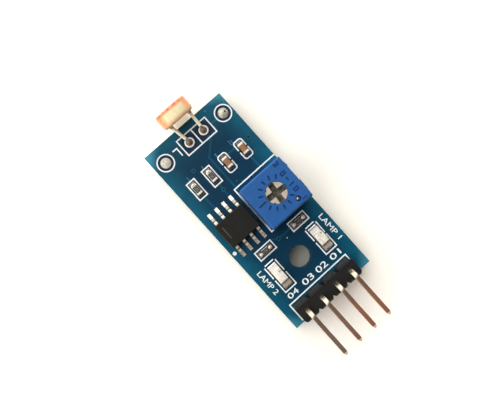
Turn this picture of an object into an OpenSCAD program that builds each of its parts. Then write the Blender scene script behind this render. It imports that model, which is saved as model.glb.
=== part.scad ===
// Light sensor module: a photocell on a small circuit board, with a trimmer that sets
// the switching level, a comparator, two indicator lamps and a bent four-pin header.
// Millimetres. The origin is on the mounting hole's axis, at the board's underside.
// +X runs towards the header, +Y towards the trimmer's edge and +Z up from the parts' side.

/* [Board] */
// Length of the board
board_l = 31; // [30.4:0.2:38]
// Width of the board
board_w = 13.6; // [13.2:0.2:18]
// Thickness of the board
board_t = 1.6; // [1:0.2:2.4]
// Diameter of the mounting hole
hole_d = 3.1; // [2.5:0.1:3.5]
// Place of the mounting hole along the board, as a share of its length from the centre
hole_at = 0.2774; // [0.27:0.0002:0.285]
// Offset of the mounting hole from the board's centre line
hole_y = 0.1; // [-0.3:0.1:0.3]
// Thickness of a tinned pad
pad_t = 0.05; // [0.02:0.01:0.1]
// Height of the printed legend
legend_t = 0.03; // [0.02:0.01:0.06]
// Width of a printed legend line
legend_w = 0.18; // [0.12:0.02:0.22]
// Length of the cut leads below the board
tail_l = 1.2; // [0.9:0.1:2]
// Clearance of a wire or pin in the hole of a part or a solder joint
wire_gap = 0.015; // [0.01:0.005:0.03]
// Diameter of a via's hole
via_d = 0.3; // [0.2:0.05:0.4]

/* [Photocell] */
// Width of the photocell along its leads' line
cell_w = 4.9; // [4.8:0.1:5.6]
// Height of the photocell between its flats
cell_h = 4.2; // [4:0.1:4.7]
// Depth of the coated photocell
cell_d = 2.2; // [2:0.1:2.6]
// Thickness of the coating
coat_t = 0.16; // [0.14:0.02:0.24]
// Radius of the coating's edges
coat_r = 0.4; // [0.2:0.05:0.45]
// Distance of the leads in the middle of the photocell
cell_pitch = 3.4; // [3.2:0.1:3.6]
// Diameter of the photocell's leads
lead_d = 0.45; // [0.35:0.05:0.55]
// Height of the photocell's axis above the board
cell_rise = 1.5; // [1.3:0.1:2.4]
// Distance of the photocell's back from the board's end, along its axis
cell_gap = 0.5; // [0.5:0.05:2]
// Tilt of the photocell's face upwards, along its leads
cell_tilt = 13; // [5:0.5:15]
// Sideways place of the photocell
cell_y = 0.2; // [0:0.1:0.6]
// Distance of the leads' pads from the board's end
cell_pad_inset = 2.45; // [2.2:0.05:2.8]
// Distance between the two lead pads
cell_pad_pitch = 2.54; // [2.4:0.02:2.6]
// Sideways place of the middle of the lead pads
cell_pad_y = 0.51; // [0.3:0.01:0.7]
// Number of cross runs in the light-sensitive track
cell_runs = 7; // [5:2:9]
// Width of the light-sensitive track
track_w = 0.28; // [0.2:0.02:0.32]
// Distance of the two spare pads from the board's end
spare_inset = 2.42; // [2:0.02:3]
// Distance of the upper spare pad from the board's edge
spare_edge_a = 1.45; // [1.4:0.05:1.6]
// Distance of the lower spare pad from the board's edge
spare_edge_b = 1.75; // [1.6:0.05:1.9]

/* [Trimmer] */
// Width of the trimmer
trimmer_w = 6.65; // [6.5:0.05:6.8]
// Depth of the trimmer
trimmer_d = 6.65; // [6.5:0.05:6.8]
// Height of the trimmer
trimmer_h = 4.9; // [4.8:0.1:5.6]
// Place of the trimmer along the board
trimmer_x = -0.14; // [-0.3:0.01:0]
// Distance of the trimmer from the board's edge
trimmer_inset = 0.575; // [0.5:0.005:0.6]
// Thickness of the housing's walls
trimmer_wall = 0.5; // [0.4:0.02:0.52]
// Thickness of the housing's roof
trimmer_roof = 1; // [0.9:0.05:1.1]
// Diameter of the rotor's head
rotor_d = 2.85; // [2.7:0.05:3]
// Running clearance of the rotor, measured on the radius
rotor_gap = 0.05; // [0.03:0.01:0.08]
// Diameter of the rotor's flange
flange_d = 4.6; // [4.4:0.1:5]
// Thickness of the rotor's flange
flange_t = 0.6; // [0.5:0.05:0.7]
// Width of the rotor's cross slot
slot_w = 0.8; // [0.5:0.05:0.9]
// Depth of the rotor's cross slot
slot_depth = 0.7; // [0.4:0.05:0.9]
// Turn of the cross slot at rest
slot_turn = -4.7; // [-20:0.1:20]
// Thickness of the seal ring's cord
seal_d = 0.4; // [0.3:0.02:0.44]
// Thickness of the ceramic element
element_t = 0.6; // [0.5:0.05:0.7]
// Thickness of the potting
potting_t = 1.2; // [1:0.05:1.3]
// Distance of the trimmer's pins from the housing's sides
trimmer_pin_inset = 0.785; // [0.78:0.005:0.85]
// Diameter of the trimmer's pins
trimmer_pin_d = 0.5; // [0.4:0.05:0.55]
// Number of ticks on the trimmer's scale
tick_count = 11; // [5:2:15]
// Sweep of the trimmer's scale in degrees
tick_sweep = 260; // [200:10:280]

/* [Comparator] */
// Length of the comparator's body
chip_l = 4.9; // [4.7:0.1:5]
// Width of the comparator's body
chip_w = 3.9; // [3.7:0.1:4.1]
// Height of the comparator's body
chip_h = 1.4; // [1.2:0.05:1.6]
// Distance of the comparator's body from the pads
chip_rise = 0.12; // [0.08:0.02:0.2]
// Span of the comparator's leads from tip to tip
chip_span = 6; // [5.8:0.1:6.2]
// Distance between the comparator's leads
chip_pitch = 1.27; // [1.2:0.01:1.3]
// Width of the comparator's leads
chip_lead_w = 0.42; // [0.35:0.01:0.48]
// Thickness of the comparator's leads
chip_lead_t = 0.2; // [0.15:0.01:0.25]
// Place of the comparator along the board
chip_x = -0.29; // [-0.5:0.01:0]
// Place of the comparator across the board
chip_y = -3.53; // [-3.7:0.01:-3.4]

/* [Chip resistors and capacitors] */
// Length of a chip resistor or capacitor
part_l = 1.6; // [1.5:0.05:1.7]
// Width of a chip resistor or capacitor
part_w = 0.82; // [0.7:0.02:0.9]
// Height of a chip resistor
resistor_h = 0.45; // [0.35:0.05:0.55]
// Height of a chip capacitor
capacitor_h = 0.8; // [0.6:0.05:0.9]
// Length of an end cap
cap_l = 0.3; // [0.2:0.02:0.36]
// Thickness of an end cap's metal
cap_t = 0.03; // [0.02:0.01:0.05]
// Length of the printed outline round a chip part
outline_l = 2.8; // [2.7:0.05:2.9]
// Width of the printed outline round a chip part
outline_w = 1.36; // [1.3:0.02:1.4]
// Place along the board of the row of four chip parts, as a share of its length from the centre
row_at = -0.2452; // [-0.252:0.0002:-0.235]
// Place along the board of the two resistors beside the lamps, as a share of its length
post_at = 0.1548; // [0.15:0.0002:0.157]

/* [Lamps] */
// Length of an indicator lamp's base
lamp_l = 3.2; // [3:0.1:3.3]
// Width of an indicator lamp
lamp_w = 1.3; // [1.1:0.05:1.4]
// Thickness of an indicator lamp's base
lamp_base_t = 0.35; // [0.25:0.05:0.45]
// Height of an indicator lamp's lens
lens_h = 0.7; // [0.5:0.05:0.9]
// Length of an indicator lamp's lens
lens_l = 1.7; // [1.5:0.05:1.8]
// Distance of the lamps from the mounting hole's line
lamp_y = 3.8; // [3.7:0.05:3.9]

/* [Header] */
// Distance between the pins
pin_pitch = 2.54; // [2.4:0.02:2.6]
// Side of a square pin
pin_w = 0.64; // [0.5:0.02:0.68]
// Depth of the header's body
header_d = 2.6; // [2.4:0.05:2.7]
// Height of the header's body
header_h = 2.54; // [2.2:0.02:2.8]
// Depth of the notch between two pins
notch_depth = 0.48; // [0.3:0.02:0.6]
// Width of the notch between two pins
notch_w = 0.64; // [0.4:0.02:0.8]
// Distance of the pins from the board's end
header_inset = 1.4; // [1.35:0.05:1.5]
// Sideways place of the header
header_y = -0.27; // [-0.4:0.01:0.2]
// Radius of the pins' bend on their middle line
bend_r = 1; // [0.7:0.05:1.2]
// Reach of the pins beyond the board's end
pin_reach = 5.95; // [4:0.05:9]
// Length of the taper at a pin's tip
tip_l = 0.5; // [0.3:0.05:0.7]

/* [Hidden] */

$fn = 48;
// How far a cutting shape runs past a face
over = 1;
// Heights of the board's upper face, and of the pads' upper face that the chip parts stand on
top = board_t;
seat = board_t + pad_t;

// Places on the board, from its centre
hole_x = hole_at * board_l;
row_x = row_at * board_l;
post_x = post_at * board_l;
spares = [[-board_l / 2 + spare_inset, board_w / 2 - spare_edge_a],
    [-board_l / 2 + spare_inset, -board_w / 2 + spare_edge_b]];
cell_pads = [for (s = [1, -1])
    [-board_l / 2 + cell_pad_inset, cell_pad_y + s * cell_pad_pitch / 2]];
trimmer_y = board_w / 2 - trimmer_inset - trimmer_d / 2;
element = [trimmer_w - 2 * trimmer_pin_inset, trimmer_d - 2 * trimmer_pin_inset];
trimmer_pins = [for (p = [[-1, 1], [0, -1], [1, 1]])
    [trimmer_x + p.x * element.x / 2, trimmer_y + p.y * element.y / 2]];
header_x = board_l / 2 - header_inset;
pin_count = 4;
header_pins = [for (i = [0:pin_count - 1])
    [header_x, header_y + (i - (pin_count - 1) / 2) * pin_pitch]];
vias = [[row_x - 0.75, 5.75], [row_x - 2.2, -2.95], [row_x + 2.4, -1.6], [post_x, -0.5]];

// Chip parts: place, and turn about the vertical
capacitors = [[[row_x, 4.15], 0], [[row_x, 1.25], 0]];
resistors = [[[row_x, -1.58], 0], [[row_x, -4.3], 0], [[post_x, 3.12], 90], [[post_x, -2.9], 90]];
lamp_shift = [-0.06, 0.02];
lamps = [[[hole_x + lamp_shift[0], hole_y + lamp_y], 0], [[hole_x + lamp_shift[1], hole_y - lamp_y], 0]];

// Solder: how far a joint's rim stands past its hole, and the thickness it thins out to
solder_rim = 0.28;
solder_lip = 0.05;
lead_hole_d = lead_d + 0.45;
trimmer_hole_d = trimmer_pin_d + 0.35;
header_hole_d = pin_w * sqrt(2) + 0.12;

// Everything is laid out from the board's centre and moved to the mounting hole
module on_board() translate([-hole_x, -hole_y, 0]) children();

// Puts a chip part, drawn along X on the plane z = 0, on its pads
module on_pads(place) on_board()
    translate([place[0].x, place[0].y, seat]) rotate([0, 0, place[1]]) children();

// A rectangle with round corners, centred
module rounded(size, r) {
    square([size.x - 2 * r, size.y], center = true);
    square([size.x, size.y - 2 * r], center = true);
    for (sx = [-1, 1], sy = [-1, 1])
        translate([sx * (size.x / 2 - r), sy * (size.y / 2 - r)]) circle(r);
}

// A block on the plane z = 0, centred on its axis, with all but its lower edges rounded
module soft_block(size, r) intersection() {
    linear_extrude(size.z) rounded([size.x, size.y], r);
    rotate([90, 0, 0]) linear_extrude(size.y, center = true) rounded([size.x, 2 * size.z], r);
    rotate([90, 0, 90]) linear_extrude(size.x, center = true) rounded([size.y, 2 * size.z], r);
}

// The side of a block whose upper edges are cut back
module cut_side(w, h, c) polygon([[-w / 2, 0], [w / 2, 0], [w / 2, h - c],
    [w / 2 - c, h], [c - w / 2, h], [-w / 2, h - c]]);

// A block on the plane z = 0, centred on its axis
module block(size) translate([-size.x / 2, -size.y / 2, 0]) cube(size);

// A through joint's solder: the plated hole's filling, and a hollow cone down the lead
module through_solder(hole, lead_r) {
    rim_r = hole / 2 + solder_rim;
    cone = rim_r - lead_r;
    cylinder(d = hole, h = top);
    rotate_extrude() difference() {
        translate([0, -cone]) square([rim_r, cone]);
        translate([rim_r + solder_lip, -cone - solder_lip]) circle(cone);
    }
}

// A round-topped cap of solder on the board's upper face
module solder_cap(r, h) {
    ball_r = (r * r + h * h) / (2 * h);
    translate([0, 0, top]) intersection() {
        translate([0, 0, h - ball_r]) sphere(ball_r);
        cylinder(r = r + over, h = h + over);
    }
}

// Board: glass-epoxy laminate drilled for the leads, the vias and one mounting screw
module circuit_board() on_board() color([0.06, 0.22, 0.33]) difference() {
    translate([-board_l / 2, -board_w / 2, 0]) cube([board_l, board_w, board_t]);
    drill([[hole_x, hole_y]], hole_d);
    drill(cell_pads, lead_hole_d);
    drill(spares, lead_hole_d);
    drill(trimmer_pins, trimmer_hole_d);
    drill(header_pins, header_hole_d);
    drill(vias, via_d);
}

module drill(places, d) for (p = places)
    translate([p.x, p.y, -over]) cylinder(d = d, h = board_t + 2 * over);

// Printed legend: a thin coat of white ink that outlines each part's place
spare_ring_r = 1.18;
outline_r = 0.35;
outline_break = 0.26;
trimmer_margin = [0.735, 0.275];
trimmer_line_gap = 0.11;
header_line_gap = [0.27, 0.13];
first_pin_dot_d = 0.56;
first_pin_dot_out = [0.63, 0.32];
lamp_outline = [2.26, 0.96];
lamp_bar = 0.66;
lamp_line_start = 2;
lamp_break = [-0.27, 0.2];

module printed_legend() on_board() color([0.95, 0.97, 0.93])
    translate([0, 0, top]) linear_extrude(legend_t) {
        for (p = cell_pads) translate(p) line_box([cell_pad_pitch, cell_pad_pitch]);
        for (p = spares) translate(p) difference() {
            circle(spare_ring_r + legend_w / 2);
            circle(spare_ring_r - legend_w / 2);
        }
        for (c = capacitors) translate(c[0]) rotate(c[1]) difference() {
            rounded([outline_l, outline_w] + [1, 1] * legend_w, outline_r + legend_w / 2);
            rounded([outline_l, outline_w] - [1, 1] * legend_w, outline_r - legend_w / 2);
            square([outline_break, outline_w + over], center = true);
        }
        for (r = resistors) translate(r[0]) rotate(r[1]) line_box([outline_l, outline_w]);
        for (l = lamps) translate(l[0]) rotate(l[1]) lamp_lines();
        trimmer_lines();
        header_lines();
        translate([chip_x + chip_w / 2 + first_pin_dot_out.x, chip_y - chip_l / 2 - first_pin_dot_out.y])
            circle(d = first_pin_dot_d);
    }

module line_box(size) difference() {
    square(size + [1, 1] * legend_w, center = true);
    square(size - [1, 1] * legend_w, center = true);
}

// Lines along X or Y through the given points
module line_path(points, w = legend_w) for (i = [1:len(points) - 1]) {
    low = [min(points[i - 1].x, points[i].x), min(points[i - 1].y, points[i].y)];
    high = [max(points[i - 1].x, points[i].x), max(points[i - 1].y, points[i].y)];
    translate(low - [1, 1] * w / 2) square(high - low + [1, 1] * w);
}

module trimmer_lines() {
    left = trimmer_x - trimmer_w / 2 - trimmer_margin[0];
    right = trimmer_x + trimmer_w / 2 + trimmer_margin[1];
    low = trimmer_y - trimmer_d / 2 - trimmer_line_gap;
    line_path([[left, board_w / 2 - legend_w / 2], [left, low], [right, low],
        [right, low + trimmer_margin[1]]]);
}

module header_lines() {
    inner = header_x - header_d / 2 - header_line_gap.x;
    side = header_length / 2 + header_line_gap.y;
    outer = board_l / 2 - legend_w - header_line_gap.y;
    line_path([[outer, header_y + side], [inner, header_y + side],
        [inner, header_y - side], [outer, header_y - side]]);
}

module lamp_lines() {
    line_path([[-lamp_outline.x, -lamp_bar], [-lamp_outline.x, lamp_bar]]);
    for (s = [-1, 1])
        line_path([[-lamp_line_start, s * lamp_outline.y], [lamp_break[0], s * lamp_outline.y]]);
    line_path([[lamp_break[1], lamp_outline.y], lamp_outline,
        [lamp_outline.x, -lamp_outline.y], [lamp_break[1], -lamp_outline.y]]);
}

// Tinned pads: copper lands with a thin coat of solder, under every chip part
part_pad = [0.85, part_w + 0.1];
lamp_pad = [1, lamp_w + 0.04];
part_pad_x = part_l / 2 - 0.05;
lamp_pad_x = lamp_l / 2 - 0.2;
chip_pad = [1.65, chip_lead_w + 0.14];
chip_pad_x = chip_span / 2 - 0.08;

module tinned_pads() color([0.75, 0.73, 0.68]) {
    for (p = concat(capacitors, resistors)) land_pair(p, part_pad, part_pad_x);
    for (p = lamps) land_pair(p, lamp_pad, lamp_pad_x);
    for (y = chip_rows) land_pair([[chip_x, chip_y + y], 0], chip_pad, chip_pad_x);
}

module land_pair(place, size, x) on_pads(place)
    for (s = [-1, 1]) translate([s * x, 0, -pad_t]) block([size.x, size.y, pad_t]);

// Via barrels: plated tubes with a flat rim on each face of the board
via_rim = 0.15;
via_wall = 0.05;

module via_barrels() on_board() color([0.07, 0.28, 0.4])
    for (p = vias) translate([p.x, p.y, 0]) difference() {
        union() {
            cylinder(d = via_d, h = board_t);
            for (z = [-pad_t, board_t]) translate([0, 0, z]) cylinder(d = via_d + 2 * via_rim, h = pad_t);
        }
        translate([0, 0, -over]) cylinder(d = via_d - 2 * via_wall, h = board_t + 2 * over);
    }

// Spare pads: two plated holes filled with solder, one heaped up with a gas pit, one flat
spare_heap = 0.32;
spare_flat = 0.08;
pit_r = 0.16;

module spare_pad_solder() on_board() color([0.78, 0.74, 0.66]) {
    translate(spares[0]) difference() {
        spare_plug(spare_heap);
        translate([0, 2 * pit_r, top + spare_heap]) sphere(pit_r);
    }
    translate(spares[1]) spare_plug(spare_flat);
}

module spare_plug(h) {
    cylinder(d = lead_hole_d, h = top);
    solder_cap(lead_hole_d / 2 + solder_rim, h);
    translate([0, 0, -spare_flat]) cylinder(r = lead_hole_d / 2 + solder_rim, h = spare_flat);
}

// Photocell: a ceramic disc with two flats, drawn face up along Z with its flats across X
film_t = 0.05;
metal_t = 0.04;
cell_x = -board_l / 2 - cell_gap - cell_d / 2;
cell_z = top + cell_rise;
ceramic_t = cell_d - 2 * coat_t - film_t - metal_t;

module in_cell() on_board() translate([cell_x, cell_y, cell_z])
    rotate([0, cell_tilt - 90, 0]) translate([0, 0, -cell_d / 2]) children();

module cell_outline() intersection() {
    circle(d = cell_w - 2 * coat_t);
    square([cell_h - 2 * coat_t, cell_w], center = true);
}

module cell_layer(z, t) translate([0, 0, z]) linear_extrude(t) children();

// Bores for the two leads, from the board side to the given depth in the photocell
module lead_bores(depth) for (i = [0, 1]) lead_slope(i, lead_d + 2 * wire_gap, lead_run(i, depth));

module photocell_ceramic() color([0.93, 0.88, 0.76]) difference() {
    in_cell() cell_layer(coat_t, ceramic_t) cell_outline();
    lead_bores(cell_d + over);
}

module photocell_film() color([0.85, 0.4, 0.2]) difference() {
    in_cell() cell_layer(coat_t + ceramic_t, film_t) cell_outline();
    lead_bores(cell_d + over);
}

module photocell_electrodes() color([0.75, 0.72, 0.66]) difference() {
    in_cell() cell_layer(coat_t + ceramic_t + film_t, metal_t) difference() {
        cell_outline();
        sensitive_track();
    }
    lead_bores(cell_d + over);
}

// The bare winding track that parts the two electrodes, from one flat to the other
track_margin = 0.4;
track_step = (cell_h - 2 * coat_t - 2 * track_margin) / (cell_runs - 1);
track_reach = cell_pitch / 2 - lead_d / 2 - track_w / 2 - 0.2;

module sensitive_track() for (i = [0:cell_runs - 1]) {
    x = (i - (cell_runs - 1) / 2) * track_step;
    side = i % 2 == 0 ? 1 : -1;
    translate([x, 0]) square([track_w, 2 * track_reach + track_w], center = true);
    track_link(x, i < cell_runs - 1 ? x + track_step : cell_h, side);
    if (i == 0) track_link(-cell_h, x, -side);
}

module track_link(x1, x2, side)
    translate([x1 - track_w / 2, side * track_reach - track_w / 2]) square([x2 - x1 + track_w, track_w]);

// Coating: a dip of clear lacquer all round the disc, drawn up into cones on the leads
cone_l = 0.32;
cone_r = 0.45;

module photocell_coating() color([0.92, 0.5, 0.3, 0.5]) difference() {
    union() {
        in_cell() intersection() {
            rotate_extrude() intersection() {
                translate([0, cell_d / 2]) rounded([cell_w, cell_d], coat_r);
                square([cell_w, cell_d]);
            }
            rotate([90, 0, 0]) linear_extrude(cell_w, center = true)
                translate([0, cell_d / 2]) rounded([cell_h, cell_d], coat_r);
        }
        for (i = [0, 1]) along_lead(i) translate([0, 0, lead_run(i, -cone_l)])
            cylinder(r1 = lead_d / 2 + solder_lip, r2 = cone_r, h = cone_l + coat_t);
    }
    in_cell() translate([0, 0, coat_t]) linear_extrude(cell_d - 2 * coat_t) cell_outline();
    lead_bores(cell_d / 2);
}

// Leads: tinned wire from the electrode out of the back, down a slope to the pad and through it
lead_bend_r = 0.7;
lead_end = cell_d - coat_t - film_t;
elbow_count = 3;
elbow_turn = (90 - cell_tilt) / elbow_count;
elbow_lip = 0.01;

// A lead in plan, from its pad's axis to the middle of the photocell: its way, turn and length
function lead_way(i) = [cell_x, cell_y + [1, -1][i] * cell_pitch / 2] - cell_pads[i];
function lead_turn(i) = atan2(lead_way(i).y, lead_way(i).x);
function lead_span(i) = norm(lead_way(i));

// The heights where a lead's slope meets the pad's axis, and where its bend begins
function slope_low(i) = cell_z - lead_span(i) * tan(cell_tilt);
function bend_low(i) = slope_low(i) - lead_bend_r * tan(45 - cell_tilt / 2);

// The length along a lead's slope, from the pad's axis to a depth in the photocell
function lead_run(i, depth) = lead_span(i) / cos(cell_tilt) + (depth - cell_d / 2)
    / (sin(cell_tilt) ^ 2 - cos(cell_tilt) ^ 2 * cos(lead_turn(i)));

// A bend is a chain of elbows: how far a wire of diameter d ends from an elbow's middle, and the
// radius of the ball that joins two wires there
function elbow_gap(d) = d / 2 * tan(elbow_turn / 2) + elbow_lip;
function elbow_r(d) = norm([d / 2, elbow_gap(d)]) + elbow_lip / 2;
elbow_step = lead_bend_r * tan(elbow_turn / 2);
slope_start = lead_bend_r * tan(45 - cell_tilt / 2) - elbow_step;

module at_lead_pad(i) on_board() translate([cell_pads[i].x, cell_pads[i].y, 0])
    rotate([0, 0, lead_turn(i)]) children();

module along_lead(i) at_lead_pad(i) translate([0, 0, slope_low(i)])
    rotate([0, 90 - cell_tilt, 0]) children();

module lead_slope(i, d, run) along_lead(i) translate([0, 0, slope_start + elbow_gap(d)])
    cylinder(d = d, h = run - slope_start - elbow_gap(d));

module lead_bend(i, d) at_lead_pad(i) {
    translate([0, 0, -tail_l]) cylinder(d = d, h = tail_l + bend_low(i) + elbow_step - elbow_gap(d));
    translate([lead_bend_r, 0, bend_low(i)]) for (k = [1:elbow_count])
        rotate([0, (k - 0.5) * elbow_turn, 0]) translate([-lead_bend_r / cos(elbow_turn / 2), 0, 0]) {
            sphere(elbow_r(d));
            if (k < elbow_count) rotate([0, elbow_turn / 2, 0]) translate([0, 0, elbow_gap(d)])
                cylinder(d = d, h = 2 * (elbow_step - elbow_gap(d)));
        }
}

module photocell_lead(i) color([0.75, 0.68, 0.55]) {
    lead_bend(i, lead_d);
    lead_slope(i, lead_d, lead_run(i, lead_end));
}

// The photocell's solder: heaped on the board's upper face, where it was made by hand
cell_heap = 0.68;

module photocell_solder() color([0.78, 0.74, 0.66]) for (i = [0, 1]) difference() {
    on_board() translate(cell_pads[i]) {
        through_solder(lead_hole_d, lead_d / 2);
        solder_cap(lead_hole_d / 2 + solder_rim, cell_heap);
    }
    lead_bend(i, lead_d + 2 * wire_gap);
    lead_slope(i, lead_d + 2 * wire_gap, lead_run(i, 0));
}

// Trimmer: a cermet element under a rotor with a cross slot, in a moulded housing
foot_gap = 0.35;
cavity = [trimmer_w - 2 * trimmer_wall, trimmer_d - 2 * trimmer_wall];
roof_z = top + trimmer_h - trimmer_roof;
flange_top = roof_z - seal_d - rotor_gap;
flange_low = flange_top - flange_t;
element_low = top + foot_gap + potting_t;
element_top = element_low + element_t;
wiper_t = 0.1;
housing_r = 0.12;
housing_cut = [0.22, 0.08];
tick_r = rotor_d / 2 + 0.32;
tick_l = 0.62;
tick_long = 1.1;
tick_w = 0.24;
tick_depth = 0.14;
marker_at = [2.4, 1.62];
marker_hole_d = 0.76;
marker_hole_depth = 0.45;
marker_d = 0.52;
marker_h = 0.25;
rib_t = 0.1;
ribs = [[-2.28, -1.55], [0.65, 2.3]];

// Figures cut in the roof: the scale's range between its ends, and the numbers of the outer pins
figure_half = [0.18, 0.29];
figure_w = 0.18;
figure_0 = [[[-1, -1], [1, -1], [1, 1], [-1, 1], [-1, -1]]];
figure_1 = [[[0, -1], [0, 1]]];
figure_3 = [[[-1, 1], [1, 1], [1, -1], [-1, -1]], [[0, 0], [1, 0]]];
figure_dash = [[[-1, 0], [1, 0]]];
roof_figures = [[[-1.28, 2.23], figure_0], [[-0.42, 2.23], figure_dash], [[0.42, 2.23], figure_1],
    [[1.28, 2.23], figure_0], [[-2.75, 2.36], figure_3], [[2.85, 2.36], figure_1]];

module at_trimmer() on_board() translate([trimmer_x, trimmer_y, 0]) children();

module trimmer_housing() at_trimmer() color([0.17, 0.38, 0.66]) difference() {
    translate([0, 0, top]) union() {
        intersection() {
            linear_extrude(trimmer_h) rounded([trimmer_w, trimmer_d], housing_r);
            rotate([90, 0, 0]) linear_extrude(trimmer_d, center = true)
                cut_side(trimmer_w, trimmer_h, housing_cut.x);
            rotate([90, 0, 90]) linear_extrude(trimmer_w, center = true)
                cut_side(trimmer_d, trimmer_h, housing_cut.y);
        }
        for (r = ribs) translate([r[0], trimmer_d / 2 - rib_t, 0])
            cube([r[1] - r[0], 2 * rib_t, trimmer_h - 3 * housing_cut.y]);
    }
    translate([-cavity.x / 2, -cavity.y / 2, top - over])
        cube([cavity.x, cavity.y, trimmer_h - trimmer_roof + over]);
    cylinder(r = rotor_d / 2 + rotor_gap, h = top + trimmer_h + over);
    translate([marker_at.x, marker_at.y, top + trimmer_h - marker_hole_depth])
        cylinder(d = marker_hole_d, h = over);
    for (i = [0:tick_count - 1]) rotate(-90 + (i / (tick_count - 1) - 0.5) * tick_sweep)
        translate([tick_r, -tick_w / 2, top + trimmer_h - tick_depth])
            cube([i == (tick_count - 1) / 2 ? tick_long : tick_l, tick_w, over]);
    translate([0, 0, top + trimmer_h - tick_depth]) linear_extrude(over)
        for (f = roof_figures, path = f[1]) translate(f[0])
            line_path([for (p = path) [p.x * figure_half.x, p.y * figure_half.y]], figure_w);
}

// Rotor: a head with the cross slot, on a flange that the roof holds down
rotor_recess = 0.1;
slot_l = rotor_d - 0.3;
rim_notch_d = 0.3;

module trimmer_rotor() at_trimmer() color([0.73, 0.69, 0.61]) rotate(slot_turn) difference() {
    head_top = top + trimmer_h - rotor_recess;
    union() {
        cylinder(d = rotor_d, h = head_top);
        translate([0, 0, flange_low]) cylinder(d = flange_d, h = flange_t);
    }
    cylinder(d = flange_d + over, h = flange_low);
    for (a = [0, 90]) rotate(a) translate([-slot_l / 2, -slot_w / 2, head_top - slot_depth])
        cube([slot_l, slot_w, over]);
    for (a = [225, 315]) rotate(a) translate([rotor_d / 2, 0, head_top - slot_depth / 2])
        cylinder(d = rim_notch_d, h = over);
}

module trimmer_seal_ring() at_trimmer() color([0.1, 0.1, 0.1])
    translate([0, 0, roof_z - seal_d / 2]) rotate_extrude()
        translate([rotor_d / 2 + 2 * rotor_gap + seal_d / 2, 0]) circle(d = seal_d);

// Wiper: a spring leaf under the flange, with a nib on the collector and a finger on the track
track_t = 0.03;
track_r = 1.75;
track_band = 0.6;
collector_d = 1;
wiper_gap = 0.03;
wiper_w = 0.5;
contact_z = element_top + track_t + wiper_gap;
wiper_drop = flange_low - wiper_t - contact_z;

module trimmer_wiper() at_trimmer() color([0.8, 0.66, 0.36]) rotate(slot_turn) translate([0, 0, contact_z]) {
    finger = [[collector_d / 2, wiper_drop], [track_r - track_band, wiper_drop],
        [track_r - track_band / 4, 0], [track_r + track_band / 4, 0], [track_r + track_band / 2, wiper_t]];
    leaf = concat(finger, [for (i = [len(finger) - 1:-1:0]) finger[i] + [0, wiper_t]]);
    translate([0, 0, wiper_drop]) cylinder(r = track_r - track_band / 2, h = wiper_t);
    cylinder(d = collector_d / 2, h = wiper_drop + wiper_t);
    rotate(-90) rotate([90, 0, 0]) linear_extrude(wiper_w, center = true) polygon(leaf);
}

// Element: a ceramic plate, notched for the three pins
module trimmer_element() at_trimmer() color([0.9, 0.88, 0.84]) difference() {
    translate([0, 0, element_low]) block([element.x, element.y, element_t]);
    trimmer_pin_holes();
}

module trimmer_pin_holes() for (p = trimmer_pins) translate([p.x - trimmer_x, p.y - trimmer_y, 0])
    cylinder(d = trimmer_pin_d + 2 * wire_gap, h = element_top + over);

// Resistive track: a horseshoe open towards the outer pins, and the collector in its middle
module trimmer_track() at_trimmer() color([0.16, 0.14, 0.13])
    translate([0, 0, element_top]) linear_extrude(track_t) {
        difference() {
            circle(track_r + track_band / 2);
            circle(track_r - track_band / 2);
            polygon([[0, 0], [-1, 2] * track_r, [1, 2] * track_r]);
        }
        circle(d = collector_d);
    }

module trimmer_potting() at_trimmer() color([0.12, 0.2, 0.3]) difference() {
    translate([0, 0, top + foot_gap]) block([cavity.x, cavity.y, potting_t]);
    trimmer_pin_holes();
}

// Marker: a bright stud in a small well of the roof
module trimmer_marker() at_trimmer() color([0.8, 0.78, 0.72])
    translate([marker_at.x, marker_at.y, top + trimmer_h - marker_hole_depth]) rotate_extrude()
        intersection() {
            rounded([marker_d, 2 * marker_h], marker_d / 4);
            square(marker_d);
        }

module trimmer_pin(i) on_board() color([0.8, 0.77, 0.7])
    translate([trimmer_pins[i].x, trimmer_pins[i].y, -tail_l])
        cylinder(d = trimmer_pin_d, h = tail_l + element_top);

module trimmer_solder() on_board() color([0.78, 0.74, 0.66])
    for (p = trimmer_pins) translate(p) difference() {
        through_solder(trimmer_hole_d, trimmer_pin_d / 2);
        translate([0, 0, -tail_l - over])
            cylinder(d = trimmer_pin_d + 2 * wire_gap, h = tail_l + top + 2 * over);
    }

// Comparator: a moulded body, drafted from its parting plane, on eight gull-wing leads
chip_rows = [for (i = [0:3]) (i - 1.5) * chip_pitch];
chip_draft = 0.12;
chip_foot_l = 0.65;
chip_root = 0.4;
chip_shoulder = 0.28;
lead_mid = chip_rise + chip_h / 2;
groove = [1.85, 0.2, 0.04];
groove_inset = 0.78;
groove_shift = -0.24;

module comparator_body() on_pads([[chip_x, chip_y], 0]) color([0.16, 0.16, 0.15]) difference() {
    translate([0, 0, chip_rise]) intersection() {
        rotate([90, 0, 0]) linear_extrude(chip_l, center = true) drafted_side(chip_w);
        rotate([90, 0, 90]) linear_extrude(chip_w, center = true) drafted_side(chip_l);
    }
    for (y = chip_rows, s = [-1, 1]) translate([s * chip_w / 2, y, lead_mid])
        cube([2 * chip_root, chip_lead_w, chip_lead_t], center = true);
    translate([groove_shift, groove_inset - chip_l / 2, chip_rise + chip_h - groove.z])
        block([groove.x, groove.y, over]);
}

module drafted_side(w) polygon([[-w / 2 + chip_draft, 0], [w / 2 - chip_draft, 0], [w / 2, chip_h / 2],
    [w / 2 - chip_draft, chip_h], [-w / 2 + chip_draft, chip_h], [-w / 2, chip_h / 2]]);

module comparator_leads() on_pads([[chip_x, chip_y], 0]) color([0.8, 0.79, 0.74])
    for (y = chip_rows, a = [0, 180]) rotate(a) translate([0, y, 0])
        rotate([90, 0, 0]) linear_extrude(chip_lead_w, center = true) gull_wing();

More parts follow.
